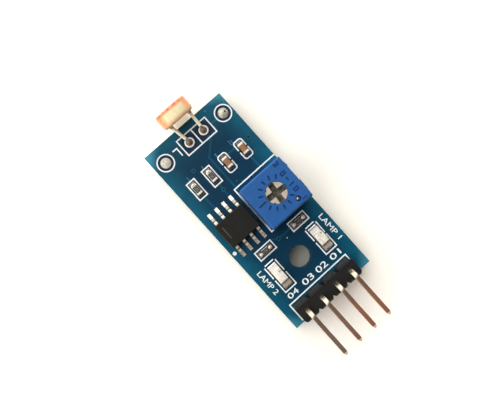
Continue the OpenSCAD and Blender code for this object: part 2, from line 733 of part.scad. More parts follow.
module gull_wing() {
    t = chip_lead_t;
    knee = chip_w / 2 + chip_shoulder;
    toe = chip_span / 2;
    heel = toe - chip_foot_l;
    polygon([[chip_w / 2 - chip_root, lead_mid + t / 2], [knee - t / 2, lead_mid + t / 2],
        [knee + t / 4, lead_mid], [heel + t / 2, t], [toe, t], [toe, 0], [heel - t / 4, 0],
        [heel - t / 2, t / 2], [knee - t / 2, lead_mid - t / 2], [chip_w / 2 - chip_root, lead_mid - t / 2]]);
}

module comparator_solder() on_pads([[chip_x, chip_y], 0]) color([0.85, 0.82, 0.76])
    for (y = chip_rows, a = [0, 180]) rotate(a) translate([chip_span / 2, y, 0])
        toe_fillet(chip_pad_x + chip_pad.x / 2 - chip_span / 2, chip_lead_w + solder_lip, chip_lead_t);

// A solder fillet that runs from a terminal's end face out along its pad
module toe_fillet(l, w, h) rotate([90, 0, 0]) linear_extrude(w, center = true)
    polygon([[0, 0], [l, 0], [l, 0.15 * h], [0.6 * l, 0.3 * h], [0.25 * l, 0.65 * h], [0, h]]);

// Chip capacitors and resistors: a ceramic block in two metal end caps
cap_round = 0.08;

module part_caps(place, h) on_pads(place) color([0.82, 0.78, 0.68]) for (s = [-1, 1])
    difference() {
        intersection() {
            soft_block([part_l, part_w, h], cap_round);
            translate([s * (part_l - cap_l) / 2, 0, 0]) block([cap_l, part_w, h]);
        }
        part_core(h);
    }

module part_core(h) translate([0, 0, cap_t])
    soft_block([part_l - 2 * cap_t, part_w - 2 * cap_t, h - 2 * cap_t], cap_round - cap_t);

module capacitor_body(i) on_pads(capacitors[i]) color([0.55, 0.42, 0.3]) part_core(capacitor_h);

module resistor_body(i) on_pads(resistors[i]) color([0.85, 0.84, 0.8]) part_core(resistor_h);

module resistor_coat(i) on_pads(resistors[i]) color([0.08, 0.08, 0.09])
    translate([0, 0, resistor_h - cap_t])
        block([part_l - 2 * cap_l - 2 * cap_t, part_w - 2 * cap_round, cap_t]);

// Indicator lamps: a die on a small base between two clip terminals, under a clear lens
terminal_l = 0.7;
die = [0.32, 0.32, 0.14];
lens_r = 0.14;

module lamp_base(place) on_pads(place) color([0.9, 0.87, 0.78])
    translate([0, 0, cap_t]) block([lamp_l - 2 * cap_t, lamp_w, lamp_base_t]);

module lamp_terminals(place) on_pads(place) color([0.72, 0.58, 0.4]) for (s = [-1, 1]) difference() {
    translate([s * (lamp_l - terminal_l) / 2, 0, 0]) block([terminal_l, lamp_w, lamp_base_t + 2 * cap_t]);
    translate([0, 0, cap_t]) block([lamp_l - 2 * cap_t, lamp_w + over, lamp_base_t]);
}

module lamp_die(place) on_pads(place) color([0.35, 0.6, 0.45])
    translate([0, 0, cap_t + lamp_base_t]) block(die);

module lamp_lens(place) on_pads(place) color([0.97, 0.93, 0.8, 0.7])
    translate([0, 0, cap_t + lamp_base_t]) difference() {
        soft_block([lens_l, lamp_w, lens_h], lens_r);
        block(die);
    }

// Solder of the chip parts: a fillet at each end
part_fillet = 0.7;

module chip_solder() color([0.85, 0.82, 0.76]) {
    for (p = capacitors) fillet_pair(p, part_l, part_pad_x + part_pad.x / 2, part_w, capacitor_h);
    for (p = resistors) fillet_pair(p, part_l, part_pad_x + part_pad.x / 2, part_w, resistor_h);
    for (p = lamps) fillet_pair(p, lamp_l, lamp_pad_x + lamp_pad.x / 2, lamp_w, lamp_base_t);
}

module fillet_pair(place, l, reach, w, h) on_pads(place) for (a = [0, 180])
    rotate(a) translate([l / 2, 0, 0]) toe_fillet(reach - l / 2, w, part_fillet * h);

// Header: a moulded strip notched between the pins, which bend out over the board's end
header_trim = 0.1;
header_cut = 0.22;
pin_stand = 0.08;
header_length = pin_count * pin_pitch - header_trim;
bend_z = top + header_h + pin_stand;

module header_body() on_board() color([0.12, 0.12, 0.11])
    translate([header_x, header_y, top]) intersection() {
        linear_extrude(header_h) difference() {
            for (p = header_pins) translate([0, p.y - header_y]) header_segment();
            for (p = header_pins) translate([0, p.y - header_y]) square(pin_w, center = true);
        }
        rotate([90, 0, 0]) linear_extrude(header_length, center = true) header_end();
    }

// The strip's end view: a square with its corners cut back
module header_end() polygon([
    [-header_d / 2 + header_cut, 0], [header_d / 2 - header_cut, 0], [header_d / 2, header_cut],
    [header_d / 2, header_h - header_cut], [header_d / 2 - header_cut, header_h],
    [-header_d / 2 + header_cut, header_h], [-header_d / 2, header_h - header_cut],
    [-header_d / 2, header_cut]]);

module header_segment() {
    half = [header_d / 2, pin_pitch / 2];
    polygon([[notch_depth - half.x, -half.y], [half.x - notch_depth, -half.y],
        [half.x, notch_w / 2 - half.y], [half.x, half.y - notch_w / 2], [half.x - notch_depth, half.y],
        [notch_depth - half.x, half.y], [-half.x, half.y - notch_w / 2], [-half.x, notch_w / 2 - half.y]]);
}

// Pins: square wire, up through the body, round the bend and out to a tapered tip
tip_x = header_inset + pin_reach;

module header_pin(i) on_board() translate([header_pins[i].x, header_pins[i].y, 0]) color([0.72, 0.6, 0.45])
    intersection() {
        rotate([90, 0, 0]) linear_extrude(pin_w, center = true) pin_side();
        translate([0, 0, -tail_l]) linear_extrude(tail_l + bend_z + 2 * bend_r) pin_taper(-pin_w / 2 - over);
    }

module pin_side() {
    translate([-pin_w / 2, -tail_l]) square([pin_w, tail_l + bend_z]);
    translate([bend_r, bend_z]) intersection() {
        difference() {
            circle(bend_r + pin_w / 2);
            circle(bend_r - pin_w / 2);
        }
        translate([-2 * bend_r, 0]) square(2 * bend_r);
    }
    translate([0, bend_z + bend_r]) pin_taper(bend_r);
}

// The straight run of a pin from the given place to its tip, tapered to half its width
module pin_taper(start) polygon([[start, -pin_w / 2], [tip_x - tip_l, -pin_w / 2], [tip_x, -pin_w / 4],
    [tip_x, pin_w / 4], [tip_x - tip_l, pin_w / 2], [start, pin_w / 2]]);

module header_solder() on_board() color([0.78, 0.74, 0.66])
    for (p = header_pins) translate(p) difference() {
        through_solder(header_hole_d, pin_w / 2);
        translate([0, 0, -tail_l - over])
            block([pin_w + 2 * wire_gap, pin_w + 2 * wire_gap, tail_l + top + 2 * over]);
    }

circuit_board();
printed_legend();
tinned_pads();
via_barrels();
spare_pad_solder();
photocell_ceramic();
photocell_film();
photocell_electrodes();
photocell_coating();
photocell_lead(0);  // photocell_lead_a
photocell_lead(1);  // photocell_lead_b
photocell_solder();
trimmer_housing();
trimmer_rotor();
trimmer_seal_ring();
trimmer_wiper();
trimmer_element();
trimmer_track();
trimmer_potting();
trimmer_marker();
trimmer_pin(0);  // trimmer_pin_1
trimmer_pin(1);  // trimmer_pin_2
trimmer_pin(2);  // trimmer_pin_3
trimmer_solder();
comparator_body();
comparator_leads();
comparator_solder();
capacitor_body(0);  // capacitor_1_body
part_caps(capacitors[0], capacitor_h);  // capacitor_1_caps
capacitor_body(1);  // capacitor_2_body
part_caps(capacitors[1], capacitor_h);  // capacitor_2_caps
resistor_body(0);  // resistor_1_body
resistor_coat(0);  // resistor_1_coat
part_caps(resistors[0], resistor_h);  // resistor_1_caps
resistor_body(1);  // resistor_2_body
resistor_coat(1);  // resistor_2_coat
part_caps(resistors[1], resistor_h);  // resistor_2_caps
resistor_body(2);  // resistor_3_body
resistor_coat(2);  // resistor_3_coat
part_caps(resistors[2], resistor_h);  // resistor_3_caps
resistor_body(3);  // resistor_4_body
resistor_coat(3);  // resistor_4_coat
part_caps(resistors[3], resistor_h);  // resistor_4_caps
lamp_base(lamps[0]);  // power_lamp_base
lamp_terminals(lamps[0]);  // power_lamp_terminals
lamp_die(lamps[0]);  // power_lamp_die
lamp_lens(lamps[0]);  // power_lamp_lens
lamp_base(lamps[1]);  // output_lamp_base
lamp_terminals(lamps[1]);  // output_lamp_terminals
lamp_die(lamps[1]);  // output_lamp_die
lamp_lens(lamps[1]);  // output_lamp_lens
chip_solder();
header_body();
header_pin(0);  // header_pin_1
header_pin(1);  // header_pin_2
header_pin(2);  // header_pin_3
header_pin(3);  // header_pin_4
header_solder();
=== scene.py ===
"""Light sensor module, dressed for the photograph: a photocell, a trimmer, a comparator, two lamps
and a bent header on a small blue circuit board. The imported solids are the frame, in metres."""

import math

import bmesh
import bpy
from mathutils import Matrix, Vector


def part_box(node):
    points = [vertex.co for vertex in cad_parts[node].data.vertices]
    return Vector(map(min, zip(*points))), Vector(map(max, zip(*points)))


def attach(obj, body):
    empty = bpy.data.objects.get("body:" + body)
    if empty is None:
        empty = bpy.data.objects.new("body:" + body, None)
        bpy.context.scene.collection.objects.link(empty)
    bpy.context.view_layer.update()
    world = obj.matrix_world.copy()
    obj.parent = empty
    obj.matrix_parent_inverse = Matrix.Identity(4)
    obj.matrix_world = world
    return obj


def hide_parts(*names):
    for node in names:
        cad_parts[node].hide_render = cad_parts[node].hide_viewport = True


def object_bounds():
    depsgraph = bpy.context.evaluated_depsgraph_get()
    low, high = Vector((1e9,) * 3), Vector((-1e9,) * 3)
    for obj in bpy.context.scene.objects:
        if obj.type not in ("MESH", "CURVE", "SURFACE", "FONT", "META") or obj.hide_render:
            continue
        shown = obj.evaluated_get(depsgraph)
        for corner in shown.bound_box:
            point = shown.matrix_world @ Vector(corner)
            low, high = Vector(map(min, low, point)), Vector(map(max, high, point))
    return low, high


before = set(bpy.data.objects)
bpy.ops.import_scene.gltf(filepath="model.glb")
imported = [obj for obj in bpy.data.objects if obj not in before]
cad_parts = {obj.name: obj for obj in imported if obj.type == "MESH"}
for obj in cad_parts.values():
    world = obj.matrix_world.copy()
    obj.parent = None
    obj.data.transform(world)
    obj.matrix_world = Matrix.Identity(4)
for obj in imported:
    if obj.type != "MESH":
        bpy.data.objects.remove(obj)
cad_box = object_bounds()


# Camera: held nearly straight above the module, turned so that the board runs from the upper left
# to the lower right. Its place and lens bring the board's corners onto those in the photograph.
MM = 0.001
VIEW_FROM = Vector((-9.862, -4.718, 67.598))
VIEW_TURN = (1.992, -2.786, 48.035)
SENSOR_WIDTH, LENS_LENGTH = 36, 34.895

camera = bpy.data.cameras.new("camera")
camera.sensor_fit = "HORIZONTAL"
camera.sensor_width = SENSOR_WIDTH
camera.lens = LENS_LENGTH
camera.clip_start = MM
viewpoint = bpy.data.objects.new("camera", camera)
viewpoint.location = VIEW_FROM * MM
viewpoint.rotation_euler = [math.radians(a) for a in VIEW_TURN]
bpy.context.scene.collection.objects.link(viewpoint)
bpy.context.scene.camera = viewpoint


# Circuit board: glass-epoxy laminate under a glossy blue solder mask, drilled, and routed to its
# outline, so that its edges show the bare pale laminate. The mask is lighter towards the edges and
# corners, a painted reflection in its gloss.
BOARD_LOW, BOARD_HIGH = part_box("circuit_board")
BOARD_MIDDLE = (BOARD_LOW + BOARD_HIGH) / 2 / MM
BOARD_HALF = (BOARD_HIGH - BOARD_LOW) / 2 / MM
# The photocell's holes and two spare ones, from the board's middle. Copper round them makes the mask
# look darker, out to a reach.
CELL_PADS = [(-13.05, 1.78), (-13.05, -0.76)]
SPARE_PADS = [(-13.08, 5.35), (-13.08, -5.05)]
DARK_FIELDS = [(pad, 1.7) for pad in CELL_PADS] + [(pad, 1.5) for pad in SPARE_PADS]
# Distances inside the board's edges over which the painted reflection on the mask gives way to its deep
# colour, with those from its ends shortened by a share, the sum of both over which a corner pales with
# painted reflection, and the laminate that is bare
EDGE_FADE, END_SHARE, CORNER_FADE, BARE_FADE = (-1.2, 3.8), 0.7, (3.0, 0.4), (0.03, 0.02)


def rgb(red, green, blue):
    """A colour as it looks on a screen, 0 to 255, in the linear values that a shader takes."""
    parts = [c / 255 for c in (red, green, blue)]
    return (*[c / 12.92 if c < 0.04 else ((c + 0.055) / 1.055) ** 2.4 for c in parts], 1)


def add_node(tree, kind, inputs=None, **settings):
    """A new node with its settings; an input is a value, or the output socket that feeds it."""
    node = tree.nodes.new(kind)
    for name, value in settings.items():
        setattr(node, name, value)
    for name, value in (inputs or {}).items():
        if isinstance(value, bpy.types.NodeSocket):
            tree.links.new(value, node.inputs[name])
        else:
            node.inputs[name].default_value = value
    return node


def math_node(tree, operation, first, second=0.0, clamp=False):
    return add_node(tree, "ShaderNodeMath", {0: first, 1: second},
                    operation=operation, use_clamp=clamp).outputs[0]


def vector_node(tree, operation, first, second=(0, 0, 0)):
    """A sum on vectors: its vector, or its plain value where it gives one, such as a length."""
    node = add_node(tree, "ShaderNodeVectorMath", {0: first, 1: second}, operation=operation)
    return node.outputs["Value" if operation in ("LENGTH", "DISTANCE", "DOT_PRODUCT") else "Vector"]


def split(tree, vector):
    """The three coordinates of a vector."""
    return add_node(tree, "ShaderNodeSeparateXYZ", {0: vector}).outputs


def mix_colours(tree, share, first, second):
    return add_node(tree, "ShaderNodeMix", {0: share, 6: first, 7: second}, data_type="RGBA").outputs[2]


def smooth_step(tree, value, low, high):
    """Zero at low and one at high, which may lie either way round, with a soft fade between them."""
    return add_node(tree, "ShaderNodeMapRange", {"Value": value, "From Min": low, "From Max": high},
                    interpolation_type="SMOOTHSTEP").outputs[0]


def place_in_mm(tree):
    """The surface's own place on the module, in millimetres."""
    place = add_node(tree, "ShaderNodeTexCoord").outputs["Object"]
    return add_node(tree, "ShaderNodeVectorMath", {0: place, "Scale": 1 / MM},
                    operation="SCALE").outputs[0]


def make_group(name, inputs, outputs):
    """An empty shader node group with named sockets, and its input and output nodes."""
    group = bpy.data.node_groups.new(name, "ShaderNodeTree")
    for side, sockets in (("INPUT", inputs), ("OUTPUT", outputs)):
        for label, kind in sockets.items():
            group.interface.new_socket(label, in_out=side, socket_type="NodeSocket" + kind)
    return group, group.nodes.new("NodeGroupInput").outputs, group.nodes.new("NodeGroupOutput").inputs


def make_grain():
    """Cloudy patches of a second colour, with a fine grain that feeds roughness and bump."""
    group, given, wanted = make_group(
        "grain",
        {"Colour": "Color", "Patch Colour": "Color", "Patch Size": "Float", "Patch Share": "Float",
         "Grain Size": "Float", "Roughness": "Float", "Roughness Spread": "Float"},
        {"Colour": "Color", "Roughness": "Float", "Height": "Float"})
    place = place_in_mm(group)
    clouds, specks = [
        add_node(group, "ShaderNodeTexNoise",
                 {"Vector": place, "Scale": math_node(group, "DIVIDE", 1.0, given[size]), "Detail": 3.0})
        .outputs[0] for size in ("Patch Size", "Grain Size")]
    share = math_node(group, "MULTIPLY", smooth_step(group, clouds, 0.35, 0.65), given["Patch Share"])
    colour = mix_colours(group, share, given["Colour"], given["Patch Colour"])
    swing = math_node(group, "MULTIPLY", math_node(group, "SUBTRACT", specks, 0.5),
                      given["Roughness Spread"])
    rough = math_node(group, "ADD", given["Roughness"], swing, clamp=True)
    for socket, value in (("Colour", colour), ("Roughness", rough), ("Height", specks)):
        group.links.new(value, wanted[socket])
    return group


grain = make_grain()


def start_finish(name, metallic=0.0, coat=0.0, specular=0.5):
    """A new material, its node tree, and its surface shader with the values that hold all over."""
    material = bpy.data.materials.new(name)
    material.use_nodes = True
    tree = material.node_tree
    shader = tree.nodes["Principled BSDF"]
    shader.inputs["Metallic"].default_value = metallic
    shader.inputs["Coat Weight"].default_value = coat
    shader.inputs["Specular IOR Level"].default_value = specular
    return material, tree, shader


def place_grain(tree, shader, colour, patch, patch_size=1.0, patch_share=0.6, roughness=0.45,
                spread=0.2, grain_size=0.12, bump=0.006):
    """Puts the grain in a material, with its own values, and gives back the grain's colour."""
    node = add_node(tree, "ShaderNodeGroup",
                    {"Colour": colour, "Patch Colour": patch, "Patch Size": patch_size,
                     "Patch Share": patch_share, "Grain Size": grain_size, "Roughness": roughness,
                     "Roughness Spread": spread}, node_tree=grain)
    relief = add_node(tree, "ShaderNodeBump", {"Height": node.outputs["Height"], "Distance": bump * MM})
    tree.links.new(relief.outputs[0], shader.inputs["Normal"])
    tree.links.new(node.outputs["Roughness"], shader.inputs["Roughness"])
    tree.links.new(node.outputs["Colour"], shader.inputs["Base Color"])
    return node.outputs["Colour"]


def dress(material, *names):
    """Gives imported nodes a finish, in the material slots that they came with."""
    for name in names:
        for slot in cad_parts[name].material_slots:
            slot.material = material


def make_mask_reflection():
    """Mask ink with a painted reflection that pales it towards the board's edges and corners, and how
    far inside them it lies.
    """
    group, given, wanted = make_group("mask_reflection", {"Deep": "Color", "Pale": "Color", "Corner": "Color"},
                                      {"Colour": "Color", "Inside": "Float"})
    away = split(group, vector_node(group, "SUBTRACT", place_in_mm(group), BOARD_MIDDLE))
    ends, sides = [math_node(group, "SUBTRACT", half, math_node(group, "ABSOLUTE", away[i]))
                   for i, half in enumerate(BOARD_HALF.xy)]
    inner = math_node(group, "MINIMUM", math_node(group, "MULTIPLY", ends, END_SHARE), sides)
    ink = mix_colours(group, smooth_step(group, inner, *EDGE_FADE), given["Pale"], given["Deep"])
    corner = smooth_step(group, math_node(group, "ADD", ends, sides), *CORNER_FADE)
    group.links.new(mix_colours(group, corner, ink, given["Corner"]), wanted["Colour"])
    group.links.new(math_node(group, "MINIMUM", ends, sides), wanted["Inside"])
    return group


mask_reflection = make_mask_reflection()


def make_mask(name, deep, pale, corner, add_marks=None):
    """Solder mask over copper or laminate; add_marks may change its ink."""
    material, tree, shader = start_finish(name, specular=0.12)
    ink, inside = add_node(tree, "ShaderNodeGroup", {"Deep": deep, "Pale": pale, "Corner": corner},
                           node_tree=mask_reflection).outputs
    if add_marks:
        ink = add_marks(tree, ink, inside)
    place_grain(tree, shader, ink, rgb(8, 40, 62), patch_size=2.6, patch_share=0.3, roughness=0.4,
                spread=0.16, grain_size=0.3, bump=0.004)
    return material


def add_fields_and_edges(tree, ink, inside):
    """Dark fields round the pads, and the bare plies of the laminate on the routed edges; the drilled
    hole's wall keeps the dark mask ink as painted shade.
    """
    place = place_in_mm(tree)
    for middle, reach in DARK_FIELDS:
        away = vector_node(tree, "DISTANCE", place, BOARD_MIDDLE + Vector((*middle, 0)))
        ink = mix_colours(tree, smooth_step(tree, away, reach, 0.75 * reach), ink, rgb(30, 44, 66))
    plies = add_node(tree, "ShaderNodeTexWave",
                     {"Vector": place, "Scale": 0.9, "Distortion": 1.2, "Detail Scale": 2.0},
                     bands_direction="Z").outputs[1]
    laminate = mix_colours(tree, plies, rgb(176, 168, 122), rgb(122, 120, 84))
    facing = add_node(tree, "ShaderNodeNewGeometry").outputs["Normal"]
    level = math_node(tree, "ABSOLUTE", split(tree, facing)[2])
    edge = math_node(tree, "MULTIPLY", smooth_step(tree, inside, *BARE_FADE),
                     smooth_step(tree, level, 0.6, 0.4))
    return mix_colours(tree, edge, ink, laminate)


# The mask's pale colour at the corners, a painted reflection
MASK_CORNER_REFLECTION = rgb(68, 144, 165)
board_mask = make_mask("board_mask", rgb(5, 54, 78), rgb(14, 98, 122), MASK_CORNER_REFLECTION, add_fields_and_edges)
dress(board_mask, "circuit_board")


# Copper tracks: thin copper under the mask, etched from the foil. They show as faint paler bands
# that stand a hair above the board and run from pad to pad.
BOARD_TOP = BOARD_HIGH.z / MM
TRACK_WIDTH = 0.28
TRACK_HEIGHT = 0.018
# Where bars meet, each is this much off the height of the last, so that no two tops share a plane
BAR_STEP = 0.002
TRACKS = [
    [(-12.0, 1.75), (-11.5, 1.75), (-9.75, -0.15), (-3.9, -0.15)],
    [(-13.05, 3.1), (-13.05, 4.6)],
    [(-8.4, 3.4), (-8.4, 2.1)],
    [(-6.1, 4.2), (-4.3, 4.2)],
    [(-6.2, -1.58), (-4.2, -1.62)],
    [(-6.2, -4.25), (-4.2, -4.17)],
    [(4.8, 1.6), (4.8, -0.5), (4.1, -1.6)],
    [(10.9, 3.9), (11.8, 3.55)],
    [(10.9, -3.7), (11.8, -4.05)],
]
# Short stubs of copper, drawn pale, those beside the small parts as a painted glint off the copper:
# their ends and widths
STUBS = [
    ((-9.75, 3.28), (-9.05, 3.28), 0.12), ((-9.6, 3.6), (-8.95, 3.6), 0.12),
    ((-9.55, 0.75), (-9.05, 0.75), 0.22), ((-9.45, -1.75), (-9.05, -1.75), 0.18),
    ((-9.7, -4.25), (-9.05, -4.25), 0.14), ((-1.36, -0.93), (0.77, -0.93), 0.06),
    ((-14.9, 3.65), (-14.9, 3.65), 0.2), ((-4.9, 0.56), (-4.9, 0.56), 0.13),
]
board_tracks = make_mask("board_tracks", rgb(16, 78, 104), rgb(28, 116, 140), MASK_CORNER_REFLECTION)
board_stubs = make_mask("board_stubs", rgb(66, 120, 142), rgb(74, 130, 150), rgb(74, 130, 150))


def board_place(x, y, z=BOARD_TOP):
    """A place given from the board's middle, in the module's own frame, in millimetres."""
    return Vector((x + BOARD_MIDDLE.x, y + BOARD_MIDDLE.y, z))


def add_bar(bm, start, end, width, height):
    """A straight bar on the board from one place to another, with square ends half a width beyond."""
    way = end - start
    size = Matrix.Diagonal((way.length + width, width, height, 1))
    turn = Matrix.Rotation(math.atan2(way.y, way.x), 4, "Z")
    middle = (start + end) / 2 + Vector((0, 0, height / 2))
    bmesh.ops.create_cube(bm, size=1, matrix=Matrix.Translation(middle) @ turn @ size)


def add_piece(bm, name, material, smooth=None):
    """Turns a bmesh in millimetres into a piece that rides on the module."""
    bmesh.ops.scale(bm, vec=(MM, MM, MM), verts=bm.verts)
    mesh = bpy.data.meshes.new(name)
    bm.to_mesh(mesh)
    bm.free()
    return add_mesh(mesh, name, material, smooth)


def add_mesh(mesh, name, material, smooth=None):
    if smooth:
        mesh.shade_smooth()
        mesh.set_sharp_from_angle(angle=math.radians(smooth))
    mesh.materials.append(material)
    piece = bpy.data.objects.new(name, mesh)
    bpy.context.scene.collection.objects.link(piece)
    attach(piece, "module")
    return piece


bm = bmesh.new()
for track in TRACKS:
    for step, (start, end) in enumerate(zip(track, track[1:])):
        add_bar(bm, board_place(*start), board_place(*end), TRACK_WIDTH, TRACK_HEIGHT + BAR_STEP * step)
add_piece(bm, "copper_tracks", board_tracks)
bm = bmesh.new()
for start, end, width in STUBS:
    add_bar(bm, board_place(*start), board_place(*end), width, TRACK_HEIGHT)
add_piece(bm, "copper_stubs", board_stubs)


# Printed legend: white ink, silk-screened in one pass over the mask. Plain numbers and words stand
# beside the header's pins and the lamps.
LEGEND_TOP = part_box("printed_legend")[1].z / MM
INK_HEIGHT = LEGEND_TOP - BOARD_TOP
# The ink, its patches, and its colour under the painted shade beside the trimmer
INK_WHITE, INK_PATCH, INK_SHADED = rgb(249, 251, 248), rgb(226, 234, 230), rgb(166, 170, 164)


def make_finish(name, colour, patch, metallic=0.0, coat=0.0, specular=0.5, **grain_values):
    """A plain finish: one colour with patches of another, and the grain."""
    material, tree, shader = start_finish(name, metallic, coat, specular)
    place_grain(tree, shader, colour, patch, **grain_values)
    return material


legend_ink = make_finish("legend_ink", INK_WHITE, INK_PATCH, patch_size=0.5, patch_share=0.5,
                         roughness=0.55, grain_size=0.08, bump=0.004)
TRIMMER_LOW, TRIMMER_HIGH = [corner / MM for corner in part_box("trimmer_housing")]
# The printed line in the gap beside the trimmer, where painted shade dims the ink: its distance from the
# housing, how far to each side of it the painted shade reaches, and how far beyond the housing's corners
TRIMMER_LINE = TRIMMER_LOW.y - 0.11
SHADE_SIDES, SHADE_ENDS = (0.3, 0.2), (0.3, -1.6)


def make_shaded_outline_ink():
    """The same ink, dimmed by painted shade along the line in the narrow gap between the trimmer and the
    comparator.
    """
    material, tree, shader = start_finish("shaded_outline_ink")
    along, across, _ = split(tree, place_in_mm(tree))
    middle, half = (TRIMMER_LOW.x + TRIMMER_HIGH.x) / 2, (TRIMMER_HIGH.x - TRIMMER_LOW.x) / 2
    from_middle = math_node(tree, "ABSOLUTE", math_node(tree, "SUBTRACT", along, middle))
    from_line = math_node(tree, "ABSOLUTE", math_node(tree, "SUBTRACT", across, TRIMMER_LINE))
    ends = [half + end for end in SHADE_ENDS]
    gap_shade = math_node(tree, "MULTIPLY", smooth_step(tree, from_middle, *ends),
                     smooth_step(tree, from_line, *SHADE_SIDES))
    place_grain(tree, shader, mix_colours(tree, gap_shade, INK_WHITE, INK_SHADED), INK_PATCH, patch_size=0.5,
                patch_share=0.25, roughness=0.55, grain_size=0.08, bump=0.004)
    return material


dress(make_shaded_outline_ink(), "printed_legend")

# Words, the middle of their place from the board's middle, their width and height, and their turn
WORDS = [
    ("01", (11.62, 3.85), 1.75, 0.84, 90),
    ("02", (11.58, 1.3), 1.85, 0.9, 90),
    ("03", (11.58, -1.2), 1.85, 0.9, 90),
    ("04", (11.64, -4.0), 1.7, 0.8, 90),
    ("LAMP 1", (8.3, 5.95), 4.2, 0.78, 0),
    ("LAMP 2", (8.3, -5.6), 3.8, 0.78, 0),
]
# The plain 1 beside the photocell, as two bars, and a stray speck of ink
FIRST_MARK = [((-13.61, -2.64), (-12.45, -2.64)), ((-13.61, -2.64), (-13.61, -3.27))]
MARK_WIDTH = 0.19
SPECK, SPECK_FOOT, SPECK_TOP = (5.5, 0.46), 0.075, 0.06


def flat_words(words):
    """Words as a thin flat mesh."""
    curve = bpy.data.curves.new(words, "FONT")
    curve.body = words
    curve.extrude = 0.5
    curve.offset = 0.008
    curve.resolution_u = 4
    sheet = bpy.data.objects.new(words, curve)
    bpy.context.scene.collection.objects.link(sheet)
    view = bpy.context.evaluated_depsgraph_get()
    mesh = bpy.data.meshes.new_from_object(sheet.evaluated_get(view))
    bpy.data.objects.remove(sheet)
    return mesh


def fit_words(mesh, middle, width, height, turn, thick):
    """Fits words to a place on a level face, with their back on it, in millimetres."""
    corners = [Vector([pick(v.co[i] for v in mesh.vertices) for i in range(3)]) for pick in (min, max)]
    size = corners[1] - corners[0]
    scale = Matrix.Diagonal((width / size.x, height / size.y, thick / size.z, 1))
    centre = Matrix.Translation(-(corners[0] + corners[1]) / 2)
    at = Matrix.Translation((middle + Vector((0, 0, thick / 2))) * MM)
    turned = Matrix.Rotation(math.radians(turn), 4, "Z")
    mesh.transform(at @ Matrix.Scale(MM, 4) @ turned @ scale @ centre)
    return mesh


def add_cone(bm, middle, foot, top, height, segments=24, turn=Matrix()):
    """A round peg, from its radius at the foot to that at the top."""
    bmesh.ops.create_cone(bm, cap_ends=True, segments=segments, radius1=foot, radius2=top, depth=height,
                          matrix=Matrix.Translation(middle) @ turn)


for words, middle, width, height, turn in WORDS:
    mesh = fit_words(flat_words(words), board_place(*middle), width, height, turn, INK_HEIGHT)
    add_mesh(mesh, "legend_" + words.lower().replace(" ", "_"), legend_ink)
bm = bmesh.new()
for step, (start, end) in enumerate(FIRST_MARK):
    add_bar(bm, board_place(*start), board_place(*end), MARK_WIDTH, INK_HEIGHT - BAR_STEP * step)
add_cone(bm, board_place(*SPECK, (LEGEND_TOP + BOARD_TOP) / 2), SPECK_FOOT, SPECK_TOP, INK_HEIGHT)
add_piece(bm, "legend_marks", legend_ink)


# Pads, vias and spare holes: copper lands with a dull coat of solder, vias under the mask, and two
# spare plated holes that the wave of solder has filled.
pad_tin = make_finish("pad_tin", rgb(112, 112, 110), rgb(70, 74, 78), patch_size=0.35, roughness=0.45,
                      spread=0.3, grain_size=0.1, bump=0.008, metallic=0.7)
dull_solder = make_finish("dull_solder", rgb(212, 206, 188), rgb(172, 164, 146), patch_size=0.3,
                          roughness=0.5, spread=0.25, grain_size=0.14, bump=0.02, metallic=0.45)
via_mask = make_finish("via_mask", rgb(34, 92, 108), rgb(22, 76, 94), patch_size=0.3, roughness=0.5,
                       grain_size=0.1, bump=0.006, specular=0.12)
dress(pad_tin, "tinned_pads")
dress(dull_solder, "spare_pad_solder")
dress(via_mask, "via_barrels")

# Dark discs in the vias, and a dark cone in the pit in the solder of one spare hole, as painted shade in
# these holes: radii at the foot and the top, height, and how far the middle stands above the board
VIAS = [(-8.351, 5.75), (-9.801, -2.95), (-5.201, -1.6), (4.799, -0.5)]
VIA_SHADE_FOOT, VIA_SHADE_TOP, VIA_SHADE_HEIGHT, VIA_SHADE_RISE = 0.16, 0.14, 0.06, 0.025
PIT = (-13.08, 5.67)
PIT_FOOT, PIT_TOP, PIT_HEIGHT, PIT_RISE = 0.05, 0.12, 0.1, 0.2
via_hole_shade = make_finish("via_hole_shade", rgb(10, 18, 26), rgb(18, 30, 40), patch_size=0.1, roughness=0.6,
                       grain_size=0.05, bump=0.002, specular=0.05)
bm = bmesh.new()
for via in VIAS:
    add_cone(bm, board_place(*via, BOARD_TOP + VIA_SHADE_RISE), VIA_SHADE_FOOT, VIA_SHADE_TOP, VIA_SHADE_HEIGHT)
add_cone(bm, board_place(*PIT, BOARD_TOP + PIT_RISE), PIT_FOOT, PIT_TOP, PIT_HEIGHT)
add_piece(bm, "via_hole_shades", via_hole_shade)


# Photocell: a ceramic disc with a light-sensitive film, and two metal electrodes that leave a
# winding track of it bare. It is fired, metallised, soldered to two wires and dipped in lacquer.
CELL_TILT = 13
CELL_WIDTH, CELL_HEIGHT, CELL_DEPTH = 4.9, 4.2, 2.199
CELL_PITCH = 3.4
LACQUER_EDGE = 0.4
cell_boxes = [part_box(name) for name in ("photocell_ceramic", "photocell_electrodes")]
CELL_LOW, CELL_HIGH = [Vector(map(pick, *corners)) / MM
                       for pick, corners in zip((min, max), zip(*cell_boxes))]
CELL_MIDDLE = (CELL_LOW + CELL_HIGH) / 2
CELL_FRAME = Matrix.Translation(CELL_MIDDLE) @ Matrix.Rotation(math.radians(CELL_TILT - 90), 4, "Y")
CELL_AXIS = CELL_FRAME.to_3x3() @ Vector((0, 0, 1))

cell_ceramic = make_finish("cell_ceramic", rgb(246, 236, 214), rgb(232, 214, 184), patch_size=0.6,
                           roughness=0.6, grain_size=0.08, bump=0.008)
cell_film = make_finish("cell_film", rgb(206, 84, 44), rgb(168, 52, 30), patch_size=0.4, roughness=0.5,
                        grain_size=0.06, bump=0.006)
cell_electrode = make_finish("cell_electrode", rgb(214, 204, 184), rgb(184, 170, 146), patch_size=0.5,
                             roughness=0.4, grain_size=0.08, bump=0.006, metallic=0.7)
dress(cell_ceramic, "photocell_ceramic")
dress(cell_film, "photocell_film")
dress(cell_electrode, "photocell_electrodes")


